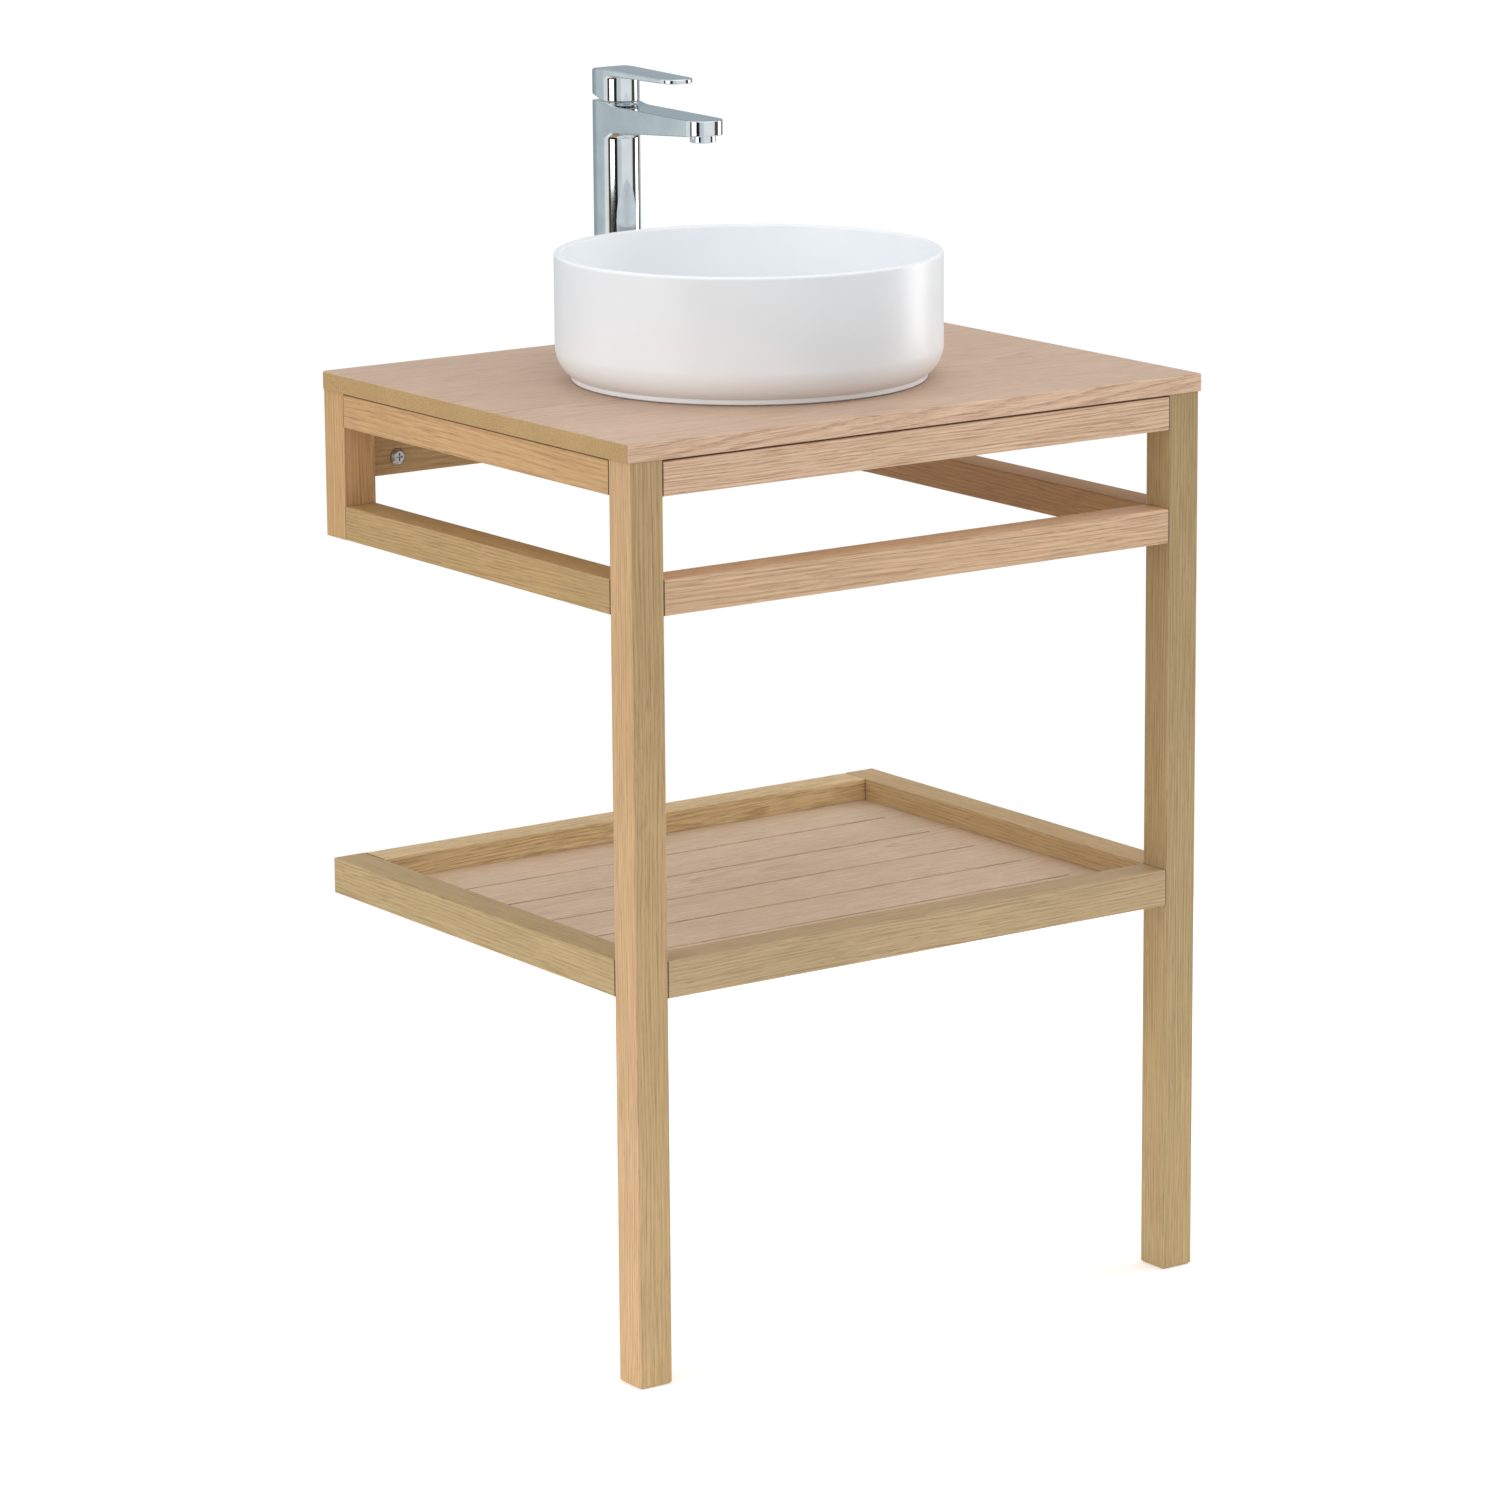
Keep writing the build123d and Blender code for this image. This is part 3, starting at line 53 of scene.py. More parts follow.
# ---- places and sizes taken from the frame, in metres ----
BASIN_LOW, BASIN_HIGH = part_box("basin")
SPOUT_LOW, SPOUT_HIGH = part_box("mixer_body")
LEVER_LOW, LEVER_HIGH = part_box("lever_handle")
TAP_X = (SPOUT_LOW.x + SPOUT_HIGH.x) / 2
TAP_HALF = (SPOUT_HIGH.x - SPOUT_LOW.x) / 2
TAP_REAR = SPOUT_HIGH.y
HUB_Y = TAP_REAR - 21.8 * MM
AXIS_Y = HUB_Y + 3.0 * MM
NOSE_Y = SPOUT_LOW.y + TAP_HALF
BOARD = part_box("worktop")[1].z
SHARP_FROM = math.radians(38)


# ---- shaping helpers ----
def linear(hex_colour):
    """An sRGB hex colour as linear red, green, blue and alpha."""
    parts = [int(hex_colour[i : i + 2], 16) / 255 for i in (1, 3, 5)]
    return [c / 12.92 if c <= 0.04045 else ((c + 0.055) / 1.055) ** 2.4 for c in parts] + [1.0]


def sweep(start, end, count):
    """Evenly spaced values from start to end, both included."""
    return [start + (end - start) * i / (count - 1) for i in range(count)]


def skin(name, rings, closed=False):
    """A smooth mesh through rings with equal numbers of points, each joined to the next."""
    bm = bmesh.new()
    rows = [[bm.verts.new(point) for point in ring] for ring in rings]
    pairs = list(zip(rows, rows[1:])) + ([(rows[-1], rows[0])] if closed else [])
    for near, far in pairs:
        for i in range(len(near)):
            j = (i + 1) % len(near)
            bm.faces.new((near[i], near[j], far[j], far[i]))
    bmesh.ops.remove_doubles(bm, verts=bm.verts, dist=0.004 * MM)
    bmesh.ops.dissolve_degenerate(bm, edges=bm.edges, dist=0.001 * MM)
    bmesh.ops.recalc_face_normals(bm, faces=bm.faces)
    mesh = bpy.data.meshes.new(name)
    bm.to_mesh(mesh)
    bm.free()
    mesh.shade_smooth()
    mesh.set_sharp_from_angle(angle=SHARP_FROM)
    piece = bpy.data.objects.new(name, mesh)
    bpy.context.scene.collection.objects.link(piece)
    return piece


def rounded_path(corners, steps=8):
    """A flat path of (across, up, corner radius) points with each corner turned into an arc."""
    path = []
    count = len(corners)
    for i, (x, z, radius) in enumerate(corners):
        here = Vector((x, z))
        if radius == 0:
            path.append((x, z))
            continue
        before = Vector(corners[(i - 1) % count][:2]) - here
        after = Vector(corners[(i + 1) % count][:2]) - here
        before.normalize()
        after.normalize()
        half_angle = before.angle(after) / 2
        centre = here + (before + after).normalized() * (radius / math.sin(half_angle))
        reach = radius / math.tan(half_angle)
        start = here + before * reach - centre
        turn = (here + after * reach - centre).angle_signed(start)
        for share in sweep(0.0, 1.0, steps):
            spot = Matrix.Rotation(turn * share, 2) @ start + centre
            path.append((spot.x, spot.y))
    return path


def lathe(name, path, x, y, z, segments=192):
    """A path of (radius, height) turned about an upright axis.

    A path that starts off the axis closes on itself; one that starts on it is solid to the middle.
    """
    turns = [math.tau * i / segments for i in range(segments)]
    rings = [
        [Vector((x + r * math.cos(t), y + r * math.sin(t), z + h)) for t in turns]
        for r, h in path
    ]
    return skin(name, rings, closed=path[0][0] > 0)


# ---- basin: radii from its middle and heights from its foot ----
FOOT, FOOT_HEIGHT, FOOT_WIDTH = 155 * MM, 4.5 * MM, 8 * MM
FOOT_STEP, FOOT_EASE = 0.8 * MM, 0.6 * MM
BOWL_CORNER, RIM_ROUND = 30 * MM, 2.8 * MM
BOWL_WALL, WALL_LEAN = 6.5 * MM, 1.5 * MM
WASTE_HOLE, WASTE_SEAT, SEAT_SLOPE = 22.5 * MM, 33 * MM, 35 * MM
SEAT_HEIGHT, SLOPE_TOP, BOWL_FLOOR = 10.5 * MM, 12 * MM, 15 * MM


def basin_piece():
    """Slip-cast bowl: straight thin wall, rounded bottom corner and a recessed foot ring."""
    radius = (BASIN_HIGH.x - BASIN_LOW.x) / 2
    height = BASIN_HIGH.z - BASIN_LOW.z
    inner = radius - BOWL_WALL
    tuck = FOOT - radius + BOWL_CORNER
    corner_z = FOOT_HEIGHT + math.sqrt(BOWL_CORNER**2 - tuck**2)
    inside = [
        (WASTE_HOLE, FOOT_HEIGHT, 0),
        (WASTE_HOLE, SEAT_HEIGHT, 0.8 * MM),
        (WASTE_SEAT, SEAT_HEIGHT, 0.6 * MM),
        (SEAT_SLOPE, SLOPE_TOP, 1.2 * MM),
        (inner - WALL_LEAN, BOWL_FLOOR, BOWL_CORNER),
        (inner, height, RIM_ROUND),
        (radius, height, RIM_ROUND),
    ]
    path = rounded_path([*inside, (radius, corner_z, 0)], 14)
    for turn in sweep(0.0, -math.acos(tuck / BOWL_CORNER), 20)[1:]:
        across = radius - BOWL_CORNER + BOWL_CORNER * math.cos(turn)
        path.append((across, corner_z + BOWL_CORNER * math.sin(turn)))
    path += [
        (FOOT - FOOT_STEP, FOOT_HEIGHT),
        (FOOT - FOOT_STEP, FOOT_EASE),
        (FOOT - FOOT_STEP - FOOT_EASE, 0),
        (FOOT - FOOT_WIDTH, 0),
        (FOOT - FOOT_WIDTH, FOOT_HEIGHT),
    ]
    x = (BASIN_LOW.x + BASIN_HIGH.x) / 2
    y = (BASIN_LOW.y + BASIN_HIGH.y) / 2
    piece = lathe("basin_glazed", path, x, y, BASIN_LOW.z)
    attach(piece, "vanity")
    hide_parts("basin")
    return piece


# ---- mixer: the body and the lever share one kind of plan, flat behind and round in front ----
TAP_CORNER = 6.0 * MM


def back_plan():
    """Points and outward normals from the left of the hub, round the flat rear, to its right."""
    half, rear, corner = TAP_HALF, TAP_REAR, TAP_CORNER
    plan = [(-half, y, -1, 0) for y in sweep(HUB_Y, rear - corner, 4)[:-1]]
    for side, turns in ((-1, sweep(180, 90, 9)), (1, sweep(90, 0, 9))):
        for turn in turns:
            across, along = math.cos(math.radians(turn)), math.sin(math.radians(turn))
            x = side * (half - corner) + corner * across
            plan.append((x, rear - corner + corner * along, across, along))
    plan += [(half, y, 1, 0) for y in sweep(rear - corner, HUB_Y, 4)[1:]]
    return plan


def front_plan(start_y, end_half, end_length):
    """From the hub's right round the front to its left: sides that may narrow, then a half oval."""
    slope = (TAP_HALF - end_half) / (HUB_Y - start_y)
    normal = Vector((1, -slope)).normalized()
    side = []
    for turn in sweep(90, math.degrees(math.atan2(end_half, HUB_Y - start_y)), 40)[1:]:
        along = TAP_HALF / (math.tan(math.radians(turn)) + slope)
        side.append((TAP_HALF - slope * along, HUB_Y - along, normal.x, normal.y))
    oval = []
    for turn in sweep(0, -180, 61)[1:-1]:
        across, along = math.cos(math.radians(turn)), math.sin(math.radians(turn))
        out = Vector((across / end_half, along / end_length)).normalized()
        oval.append((end_half * across, start_y + end_length * along, out.x, out.y))
    mirrored = [(-x, y, -nx, ny) for x, y, nx, ny in reversed(side)]
    return side + oval + mirrored


class TapSlice:
    """One upright slice of the tap, from its hub's middle out to a point of its plan."""

    def __init__(self, x, y, nx, ny):
        self.edge = Vector((TAP_X + x, y))
        self.out = Vector((nx, ny))
        self.hub = Vector((TAP_X, HUB_Y))
        self.front = y < HUB_Y - 1e-9
        self.gap = max(0.0, (self.edge - self.hub).length - TAP_HALF) if self.front else 0.0

    def inset(self, depth):
        """A plan point that far inside the outer edge."""
        return self.edge - self.out * depth

    def hub_ring(self, depth):
        """A plan point that far inside the hub's own outline."""
        if self.front:
            return self.hub + (self.edge - self.hub).normalized() * (TAP_HALF - depth)
        return self.inset(depth)

    def beyond_hub(self, distance, limit):
        """A plan point that far outside the hub, towards the limit point but not past it."""
        if not self.front:
            return self.edge.copy()
        way = limit - self.hub
        return self.hub + way.normalized() * min(TAP_HALF + distance, max(way.length, TAP_HALF))

    def bore(self, radius):
        """A plan point on a bore about the mixer's axis."""
        axis = Vector((TAP_X, AXIS_Y))
        return axis + (self.edge - axis).normalized() * radius


def up(plan_point, z):
    """A plan point lifted to a height."""
    return Vector((plan_point.x, plan_point.y, z))


def hollow_round(distance, radius):
    """How far a concave corner of that radius stands off its flat, that far from the wall."""
    if distance >= radius:
        return 0.0
    return radius - math.sqrt(radius**2 - (radius - distance) ** 2)


def hub_distance(point):
    """How far a point lies outside the hub's round front."""
    return max(0.0, (Vector((point.x, point.y)) - Vector((TAP_X, HUB_Y))).length - TAP_HALF)


# heights above the worktop in millimetres: the spout falls to its nose, its underside rises
SPOUT_LEVEL, SPOUT_FALL, ARCH_LEVEL, ARCH_RISE = 219.3, 2.3, 195.5, 8.5
SPOUT_SEAM = BOARD + 221.6 * MM
COLLAR_RUN = 13 * MM
ARCH_ROUND = 6 * MM
# the bores up the column, and the heights where they change
TAIL_BORE, HOSE_BORE, CARTRIDGE_BORE = 13.25 * MM, 11.2 * MM, 12.6 * MM
NUT_BORE, MOUTH_BORE, MOUTH_EASE = 13.7 * MM, 14.1 * MM, 0.4 * MM
TAIL_TOP, CARTRIDGE_FLOOR, NUT_FLOOR = BOARD + 14 * MM, BOARD + 176 * MM, BOARD + 213 * MM


def spout_top(point):
    """Nearly level, falling to the nose, with a collar that sweeps up to the hub."""
    share = min(1.0, max(0.0, (HUB_Y - point.y) / (HUB_Y - SPOUT_LOW.y)))
    flat = BOARD + (SPOUT_LEVEL - SPOUT_FALL * share) * MM
    collar = 1 - min(1.0, hub_distance(point) / COLLAR_RUN)
    return flat + (SPOUT_SEAM - flat) * collar**3


def spout_under(point):
    """Level at the column, rising to the nose, with a concave arch down onto the column."""
    front = HUB_Y - TAP_HALF
    share = min(1.0, max(0.0, (front - point.y) / (front - SPOUT_LOW.y)))
    flat = BOARD + (ARCH_LEVEL + ARCH_RISE * share) * MM
    return flat - hollow_round(hub_distance(point), ARCH_ROUND)


def quarter(count=5):
    """Angles of a quarter turn, for the small rounds along edges."""
    return sweep(0.0, math.pi / 2, count)


def body_slice(cut):
    """The body's closed outline in one slice: bores, top, wall, underside, column and base."""
    base = SPOUT_LOW.z
    seam_round, hold = 0.4 * MM, 0.3 * MM
    bores = [
        (TAIL_BORE, base),
        (TAIL_BORE, TAIL_TOP),
        (HOSE_BORE, TAIL_TOP),
        (HOSE_BORE, CARTRIDGE_FLOOR),
        (CARTRIDGE_BORE, CARTRIDGE_FLOOR),
        (CARTRIDGE_BORE, NUT_FLOOR),
        (NUT_BORE, NUT_FLOOR),
        (NUT_BORE, SPOUT_HIGH.z - MOUTH_EASE),
        (MOUTH_BORE, SPOUT_HIGH.z),
    ]
    line = [up(cut.bore(radius), z) for radius, z in bores]
    for turn in quarter(4):
        depth = seam_round * (1 - math.sin(turn))
        line.append(up(cut.hub_ring(depth), SPOUT_SEAM + seam_round * math.cos(turn)))
    edge_round = 1.0 * MM * min(1.0, cut.gap / (3 * MM))
    rim = cut.inset(edge_round)
    for distance in (0.3, 0.8, 1.5, 2.5, 3.8, 5.5, 7.5, 10, 13):
        spot = cut.beyond_hub(distance * MM, rim)
        line.append(up(spot, spout_top(spot)))
    last = line[-1].to_2d()
    for share in (0.25, 0.5, 0.75, 0.93, 1.0):
        spot = last.lerp(rim, share) if cut.front else cut.edge
        line.append(up(spot, spout_top(spot)))
    edge_top = spout_top(cut.edge)
    for turn in quarter()[1:]:
        spot = cut.inset(edge_round * (1 - math.sin(turn)))
        line.append(up(spot, edge_top - edge_round * (1 - math.cos(turn))))
    under_round = 0.8 * MM * min(1.0, cut.gap / (4 * MM))
    edge_low = spout_under(cut.edge)
    line.append(up(cut.edge, edge_top - edge_round - hold))
    line.append(up(cut.edge, edge_low + under_round + hold))
    for turn in quarter():
        spot = cut.inset(under_round * (1 - math.cos(turn)))
        line.append(up(spot, spout_under(spot) + under_round * (1 - math.sin(turn))))
    sill = cut.inset(under_round)
    reach = max(0.0, (sill - cut.hub).length - TAP_HALF) if cut.front else 0.0
    level = max(reach - ARCH_ROUND, 0.0)
    distances = [ARCH_ROUND + level * share for share in (0.9, 0.6, 0.3, 0.08, 0.0)]
    distances += [ARCH_ROUND * (1 - math.cos(math.radians(a))) for a in sweep(80, 0, 9)]
    for distance in distances:
        spot = cut.beyond_hub(distance, sill)
        line.append(up(spot, spout_under(spot)))
    wall = cut.hub_ring(0)
    column_top = line[-1].z
    line += [up(wall, column_top - hold), up(wall, base + 1.0 * MM), up(wall, base + 0.5 * MM)]
    line += [up(cut.hub_ring(0.15 * MM), base + 0.15 * MM), up(cut.hub_ring(0.5 * MM), base)]
    return line


def carve(piece, *cutters):
    """Cuts the cutters' shapes out of a piece for good."""
    for cutter in cutters:
        knife = piece.modifiers.new("carve", "BOOLEAN")
        knife.operation = "DIFFERENCE"
        knife.solver = "EXACT"
        knife.object = cutter
    bpy.context.view_layer.update()
    shown = piece.evaluated_get(bpy.context.evaluated_depsgraph_get())
    result = bpy.data.meshes.new_from_object(shown)
    piece.modifiers.clear()
    piece.data = result
    for cutter in cutters:
        bpy.data.objects.remove(cutter)
    result.set_sharp_from_angle(angle=SHARP_FROM)


def aerator_recess():
    """The stepped round recess that takes the aerator, up into the spout's nose."""
    seat, thread, step, depth = 11.7 * MM, 10.4 * MM, 12.4 * MM, 19 * MM
    path = [(0, 0), (seat, 0), (seat, step), (thread, step), (thread, depth), (0, depth)]
    return lathe("aerator_recess", path, TAP_X, NOSE_Y, BOARD + 192 * MM, 96)


def rear_hole(name, radius, start_y, end_y):
    """A round hole along the lever's hub at the height of its fixing screw."""
    length = end_y - start_y
    hole = lathe(name, [(0, 0), (radius, 0), (radius, length), (0, length)], 0, 0, 0, 32)
    low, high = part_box("lever_grub_screw")
    turn = Matrix.Rotation(-math.pi / 2, 4, "X")
    hole.data.transform(Matrix.Translation((TAP_X, start_y, (low.z + high.z) / 2)) @ turn)
    return hole


def stem_socket():
    """The square socket over the cartridge's stem."""
    half, low = 3.08 * MM, BOARD + 229 * MM
    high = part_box("cartridge_stem")[1].z + 0.5 * MM
    square = [(-half, -half), (half, -half), (half, half), (-half, half)]
    rings = [[Vector((TAP_X, AXIS_Y, low))] * 4]
    for z in (low, high):
        rings.append([Vector((TAP_X + x, AXIS_Y + y, z)) for x, y in square])
    rings.append([Vector((TAP_X, AXIS_Y, high))] * 4)
    return skin("stem_socket", rings)


def mixer_body_piece():
    """Column and spout in one casting: flat sides, round front, arch under the spout."""
    plan = back_plan() + front_plan(NOSE_Y, TAP_HALF, TAP_HALF)
    slices = [body_slice(TapSlice(*point)) for point in plan]
    piece = skin("mixer_body_plated", [list(ring) for ring in zip(*slices)], closed=True)
    carve(piece, aerator_recess())
    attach(piece, "vanity")
    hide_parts("mixer_body")
    return piece


LEVER_START = HUB_Y - 85 * MM
LEVER_TIP_HALF, LEVER_TIP_LENGTH = 15.5 * MM, 17 * MM
LEVER_FALL, LEVER_CROWN, REAR_ROLL = 1.7 * MM, 0.6 * MM, 8 * MM
LEVER_UNDER, LEVER_UNDER_ROUND = BOARD + 245.2 * MM, 2.5 * MM
CAVITY_ROOF = BOARD + 230 * MM
TIPPING_SLOPE = math.tan(math.radians(18.5))
GRUB_HOLE, INDEX_HOLE = 2.05 * MM, 3.05 * MM


def lever_top(point):
    """Falls a little to the tip, crowned across, and rolls over at the hub's rear."""
    share = min(1.0, max(0.0, (HUB_Y - point.y) / (HUB_Y - LEVER_LOW.y)))
    crown = LEVER_CROWN * ((point.x - TAP_X) / TAP_HALF) ** 2
    rear = hollow_round(TAP_REAR - point.y, REAR_ROLL)
    return LEVER_HIGH.z - LEVER_FALL * share - crown * min(1.0, 0.3 + share) - rear


def lever_under(point):
    """Level under the paddle, with a small concave round down onto the hub."""
    return LEVER_UNDER - hollow_round(hub_distance(point), LEVER_UNDER_ROUND)


def hub_bottom(point):
    """Level in front of the axis and cut back behind it, so that the lever can tip."""
    return LEVER_LOW.z + max(0.0, point.y - AXIS_Y) * TIPPING_SLOPE


def lever_slice(cut):
    """One slice of the lever, from its cavity's roof down, round the hub and paddle to the top."""
    shell, edge, hold = 3.0 * MM, 0.4 * MM, 0.3 * MM
    inner = cut.hub_ring(shell)
    line = [Vector((TAP_X, AXIS_Y, CAVITY_ROOF)), up(inner, CAVITY_ROOF)]
    line.append(up(inner, hub_bottom(inner) + hold))
    for depth in (shell - hold, edge):
        spot = cut.hub_ring(depth)
        line.append(up(spot, hub_bottom(spot)))
    for turn in quarter(4)[1:]:
        spot = cut.hub_ring(edge * (1 - math.sin(turn)))
        line.append(up(spot, hub_bottom(spot) + edge * (1 - math.cos(turn))))
    wall = cut.hub_ring(0)
    line.append(up(wall, hub_bottom(wall) + edge + hold))
    under_round = 0.8 * MM * min(1.0, cut.gap / (3 * MM))
    sill = cut.inset(under_round)
    reach = max(0.0, (sill - cut.hub).length - TAP_HALF) if cut.front else 0.0
    level = max(reach - LEVER_UNDER_ROUND, 0.0)
    line.append(up(wall, lever_under(wall) - hold))
    distances = [LEVER_UNDER_ROUND * (1 - math.cos(math.radians(a))) for a in sweep(0, 80, 6)]
    distances += [LEVER_UNDER_ROUND + level * share for share in (0.0, 0.1, 0.35, 0.7, 0.95)]
    for distance in distances:
        spot = cut.beyond_hub(distance, sill)
        line.append(up(spot, lever_under(spot)))
    for turn in quarter():
        spot = cut.inset(under_round * (1 - math.sin(turn)))
        line.append(up(spot, lever_under(spot) + under_round * (1 - math.cos(turn))))
    top_round = 1.3 * MM
    edge_top = lever_top(cut.edge)
    line.append(up(cut.edge, lever_under(cut.edge) + under_round + 0.2 * MM))
    line.append(up(cut.edge, edge_top - top_round - 0.2 * MM))
    for turn in reversed(quarter(7)):
        spot = cut.inset(top_round * (1 - math.sin(turn)))
        line.append(up(spot, lever_top(spot) - top_round * (1 - math.cos(turn))))
    for depth in (1.5, 2.0, 2.7, 3.6, 4.6, 5.5):
        spot = cut.inset(depth * MM)
        line.append(up(spot, lever_top(spot)))
    deep = cut.inset(5.5 * MM)
    for share in (0.12, 0.25, 0.4, 0.55, 0.7, 0.85, 1.0):
        spot = deep.lerp(cut.hub, share)
        line.append(up(spot, lever_top(spot)))
    return line


def lever_piece():
    """Hub and paddle in one casting, hollow underneath over the cartridge."""
    plan = back_plan() + front_plan(LEVER_START, LEVER_TIP_HALF, LEVER_TIP_LENGTH)
    slices = [lever_slice(TapSlice(*point)) for point in plan]
    piece = skin("lever_plated", [list(ring) for ring in zip(*slices)])
    outside = TAP_REAR + 1 * MM
    screw_hole = rear_hole("screw_hole", GRUB_HOLE, AXIS_Y, outside)
    plug_recess = rear_hole("plug_recess", INDEX_HOLE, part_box("lever_index_plug")[0].y, outside)
    carve(piece, stem_socket(), screw_hole, plug_recess)
    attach(piece, "mixer_lever")
    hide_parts("lever_handle")
    return piece


# ---- finishes ----
def add(tree, kind, settings=None, links=None, stops=()):
    """Adds a node with its settings and links.

    Settings are attributes or, by name or number, input values; links feed inputs; stops are the
    places and colours along a colour band.
    """
    node = tree.nodes.new(kind)
    for key, value in (settings or {}).items():
        if isinstance(key, str) and hasattr(node, key):
            setattr(node, key, value)
        else:
            node.inputs[key].default_value = value
    for key, source in (links or {}).items():
        tree.links.new(source, node.inputs[key])
    if stops:
        elements = node.color_ramp.elements
        while len(elements) < len(stops):
            elements.new(0.5)
        for element, (spot, colour) in zip(elements, stops):
            element.position = spot
            element.color = colour
    return node


def finish(name, settings):
    """A new material with its shader's plain values set."""
    material = bpy.data.materials.new(name)
    material.use_nodes = True
    tree = material.node_tree
    shader = tree.nodes["Principled BSDF"]
    for key, value in settings.items():
        shader.inputs[key].default_value = value
    return material, tree, shader


# the grain runs along the first axis of each piece's own grain frame
GRAIN_TURN = {"x": (0, 0, 0), "y": (0, 0, -math.pi / 2), "z": (0, math.pi / 2, 0)}
GRAIN_FRAME = {
    "x": lambda x, y, z: (x, y, z),
    "y": lambda x, y, z: (y, -x, z),
    "z": lambda x, y, z: (z, y, -x),
}


# how much the palest fibres are brightened as a painted sheen, and how much the pores darken
FIBRE_PAINTED_SHEEN, PORE_SHADE = 1.30, 0.52


def oiled_oak(node, along, aim, tilt, pale, dark):
    """Planed and oiled oak: rings cut by the face, fibres with a painted sheen, open pores as fine
    dashes.

    aim is where the tree's middle lies from the piece's middle, in millimetres across the grain.
    The last half millimetre at each jointed end is darkened as a painted shadow line, where the
    joint's shadow gap falls.
    """
    material, tree, shader = finish(f"oiled_oak_{node}", {"IOR": 1.47})
    low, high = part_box(node)
    middle = Vector(GRAIN_FRAME[along](*((low + high) / 2)))
    length = max(high - low)
    coordinates = add(tree, "ShaderNodeTexCoord")
    place = coordinates.outputs["Object"]
    turned = add(tree, "ShaderNodeMapping", {"Rotation": GRAIN_TURN[along]}, {"Vector": place})
    centred = add(tree, "ShaderNodeMapping", {"Location": -middle}, {"Vector": turned.outputs[0]})
    log = add(
        tree,
        "ShaderNodeMapping",
        {"Location": (0, aim[0] * MM, aim[1] * MM), "Rotation": [math.radians(a) for a in tilt]},
        {"Vector": centred.outputs[0]},
    )
    # the trunk's slow waver: about 250 mm along the grain and 40 mm across
    wide = add(tree, "ShaderNodeMapping", {"Scale": (4, 24, 24)}, {"Vector": log.outputs[0]})
    soft_noise = {"Scale": 1.0, "Detail": 2.0}
    waver = add(tree, "ShaderNodeTexNoise", soft_noise, {"Vector": wide.outputs[0]})
    off = add(
        tree,
        "ShaderNodeVectorMath",
        {"operation": "SUBTRACT", 1: (0.5, 0.5, 0.5)},
        {0: waver.outputs["Color"]},
    )
    push = add(
        tree,
        "ShaderNodeVectorMath",
        {"operation": "MULTIPLY", 1: (0.0, 8 * MM, 8 * MM)},
        {0: off.outputs[0]},
    )
    bent = add(
        tree,
        "ShaderNodeVectorMath",
        {"operation": "ADD"},
        {0: log.outputs[0], 1: push.outputs[0]},
    ).outputs[0]
    # growth rings, one every 2.6 mm; the ring wave repeats each 0.314 divided by its scale
    rings = add(
        tree,
        "ShaderNodeTexWave",
        {
            "wave_type": "RINGS",
            "rings_direction": "X",
            "wave_profile": "SAW",
            "Scale": 0.314 / (2.6 * MM),
            "Distortion": 0.9,
            "Detail": 2.0,
            "Detail Scale": 0.5,
        },
        {"Vector": bent},
    )
    # fibres: about 1 mm wide and 90 mm long, drawn coarser than the real 0.2 mm
    long_cells = add(tree, "ShaderNodeMapping", {"Scale": (11, 1000, 1000)}, {"Vector": bent})
    fibres = add(
        tree,
        "ShaderNodeTexNoise",
        {"Scale": 1.0, "Detail": 3.0, "Roughness": 0.65},
        {"Vector": long_cells.outputs[0]},
    )
    # open pores: about 0.55 mm wide and 16 mm long, drawn coarser than the real 0.3 by 5 mm
    pore_cells = add(tree, "ShaderNodeMapping", {"Scale": (60, 1800, 1800)}, {"Vector": bent})
    pores = add(
        tree, "ShaderNodeTexNoise", {"Scale": 1.0, "Detail": 1.0}, {"Vector": pore_cells.outputs[0]}
    )
    pore_spots = add(
        tree,
        "ShaderNodeMapRange",
        {"From Min": 0.56, "From Max": 0.70},
        {"Value": pores.outputs["Fac"]},
    )
    early = add(
        tree,
        "ShaderNodeMapRange",
        {"From Min": 0.35, "From Max": 0.9, "To Min": 0.12, "To Max": 0.55},
        {"Value": rings.outputs["Fac"]},
    )
    pore_depth = add(
        tree,
        "ShaderNodeMath",
        {"operation": "MULTIPLY"},
        {0: pore_spots.outputs[0], 1: early.outputs[0]},
    )
    # broad warm and cool patches, about 150 mm long and 60 mm across
    broad = add(tree, "ShaderNodeMapping", {"Scale": (6, 16, 16)}, {"Vector": log.outputs[0]})
    patches = add(tree, "ShaderNodeTexNoise", soft_noise, {"Vector": broad.outputs[0]})

    def toned(pale_tone, dark_tone):
        """Grain and fibres in one pair of tones; the palest fibres are a painted sheen, paler than
        the pale tone.
        """
        light, deep = linear(pale_tone), linear(dark_tone)
        painted_sheen = [min(1.0, c * FIBRE_PAINTED_SHEEN) for c in light[:3]] + [1.0]
        ring_band = [(0.0, light), (0.5, light), (0.92, deep), (1.0, light)]
        fibres_and_sheen_band = [(0.33, deep), (0.50, light), (0.68, painted_sheen)]
        grain = add(tree, "ShaderNodeValToRGB", None, {"Fac": rings.outputs["Fac"]}, ring_band)
        fibres_and_sheen = add(tree, "ShaderNodeValToRGB", None, {"Fac": fibres.outputs["Fac"]}, fibres_and_sheen_band)
        blend = add(
            tree,
            "ShaderNodeMix",
            {"data_type": "RGBA", 0: 0.62},
            {6: grain.outputs[0], 7: fibres_and_sheen.outputs[0]},
        )
        return blend.outputs[2]

    wood = toned(pale, dark)
    if node in SIDE_TONES_AND_PAINTED_LIGHT:
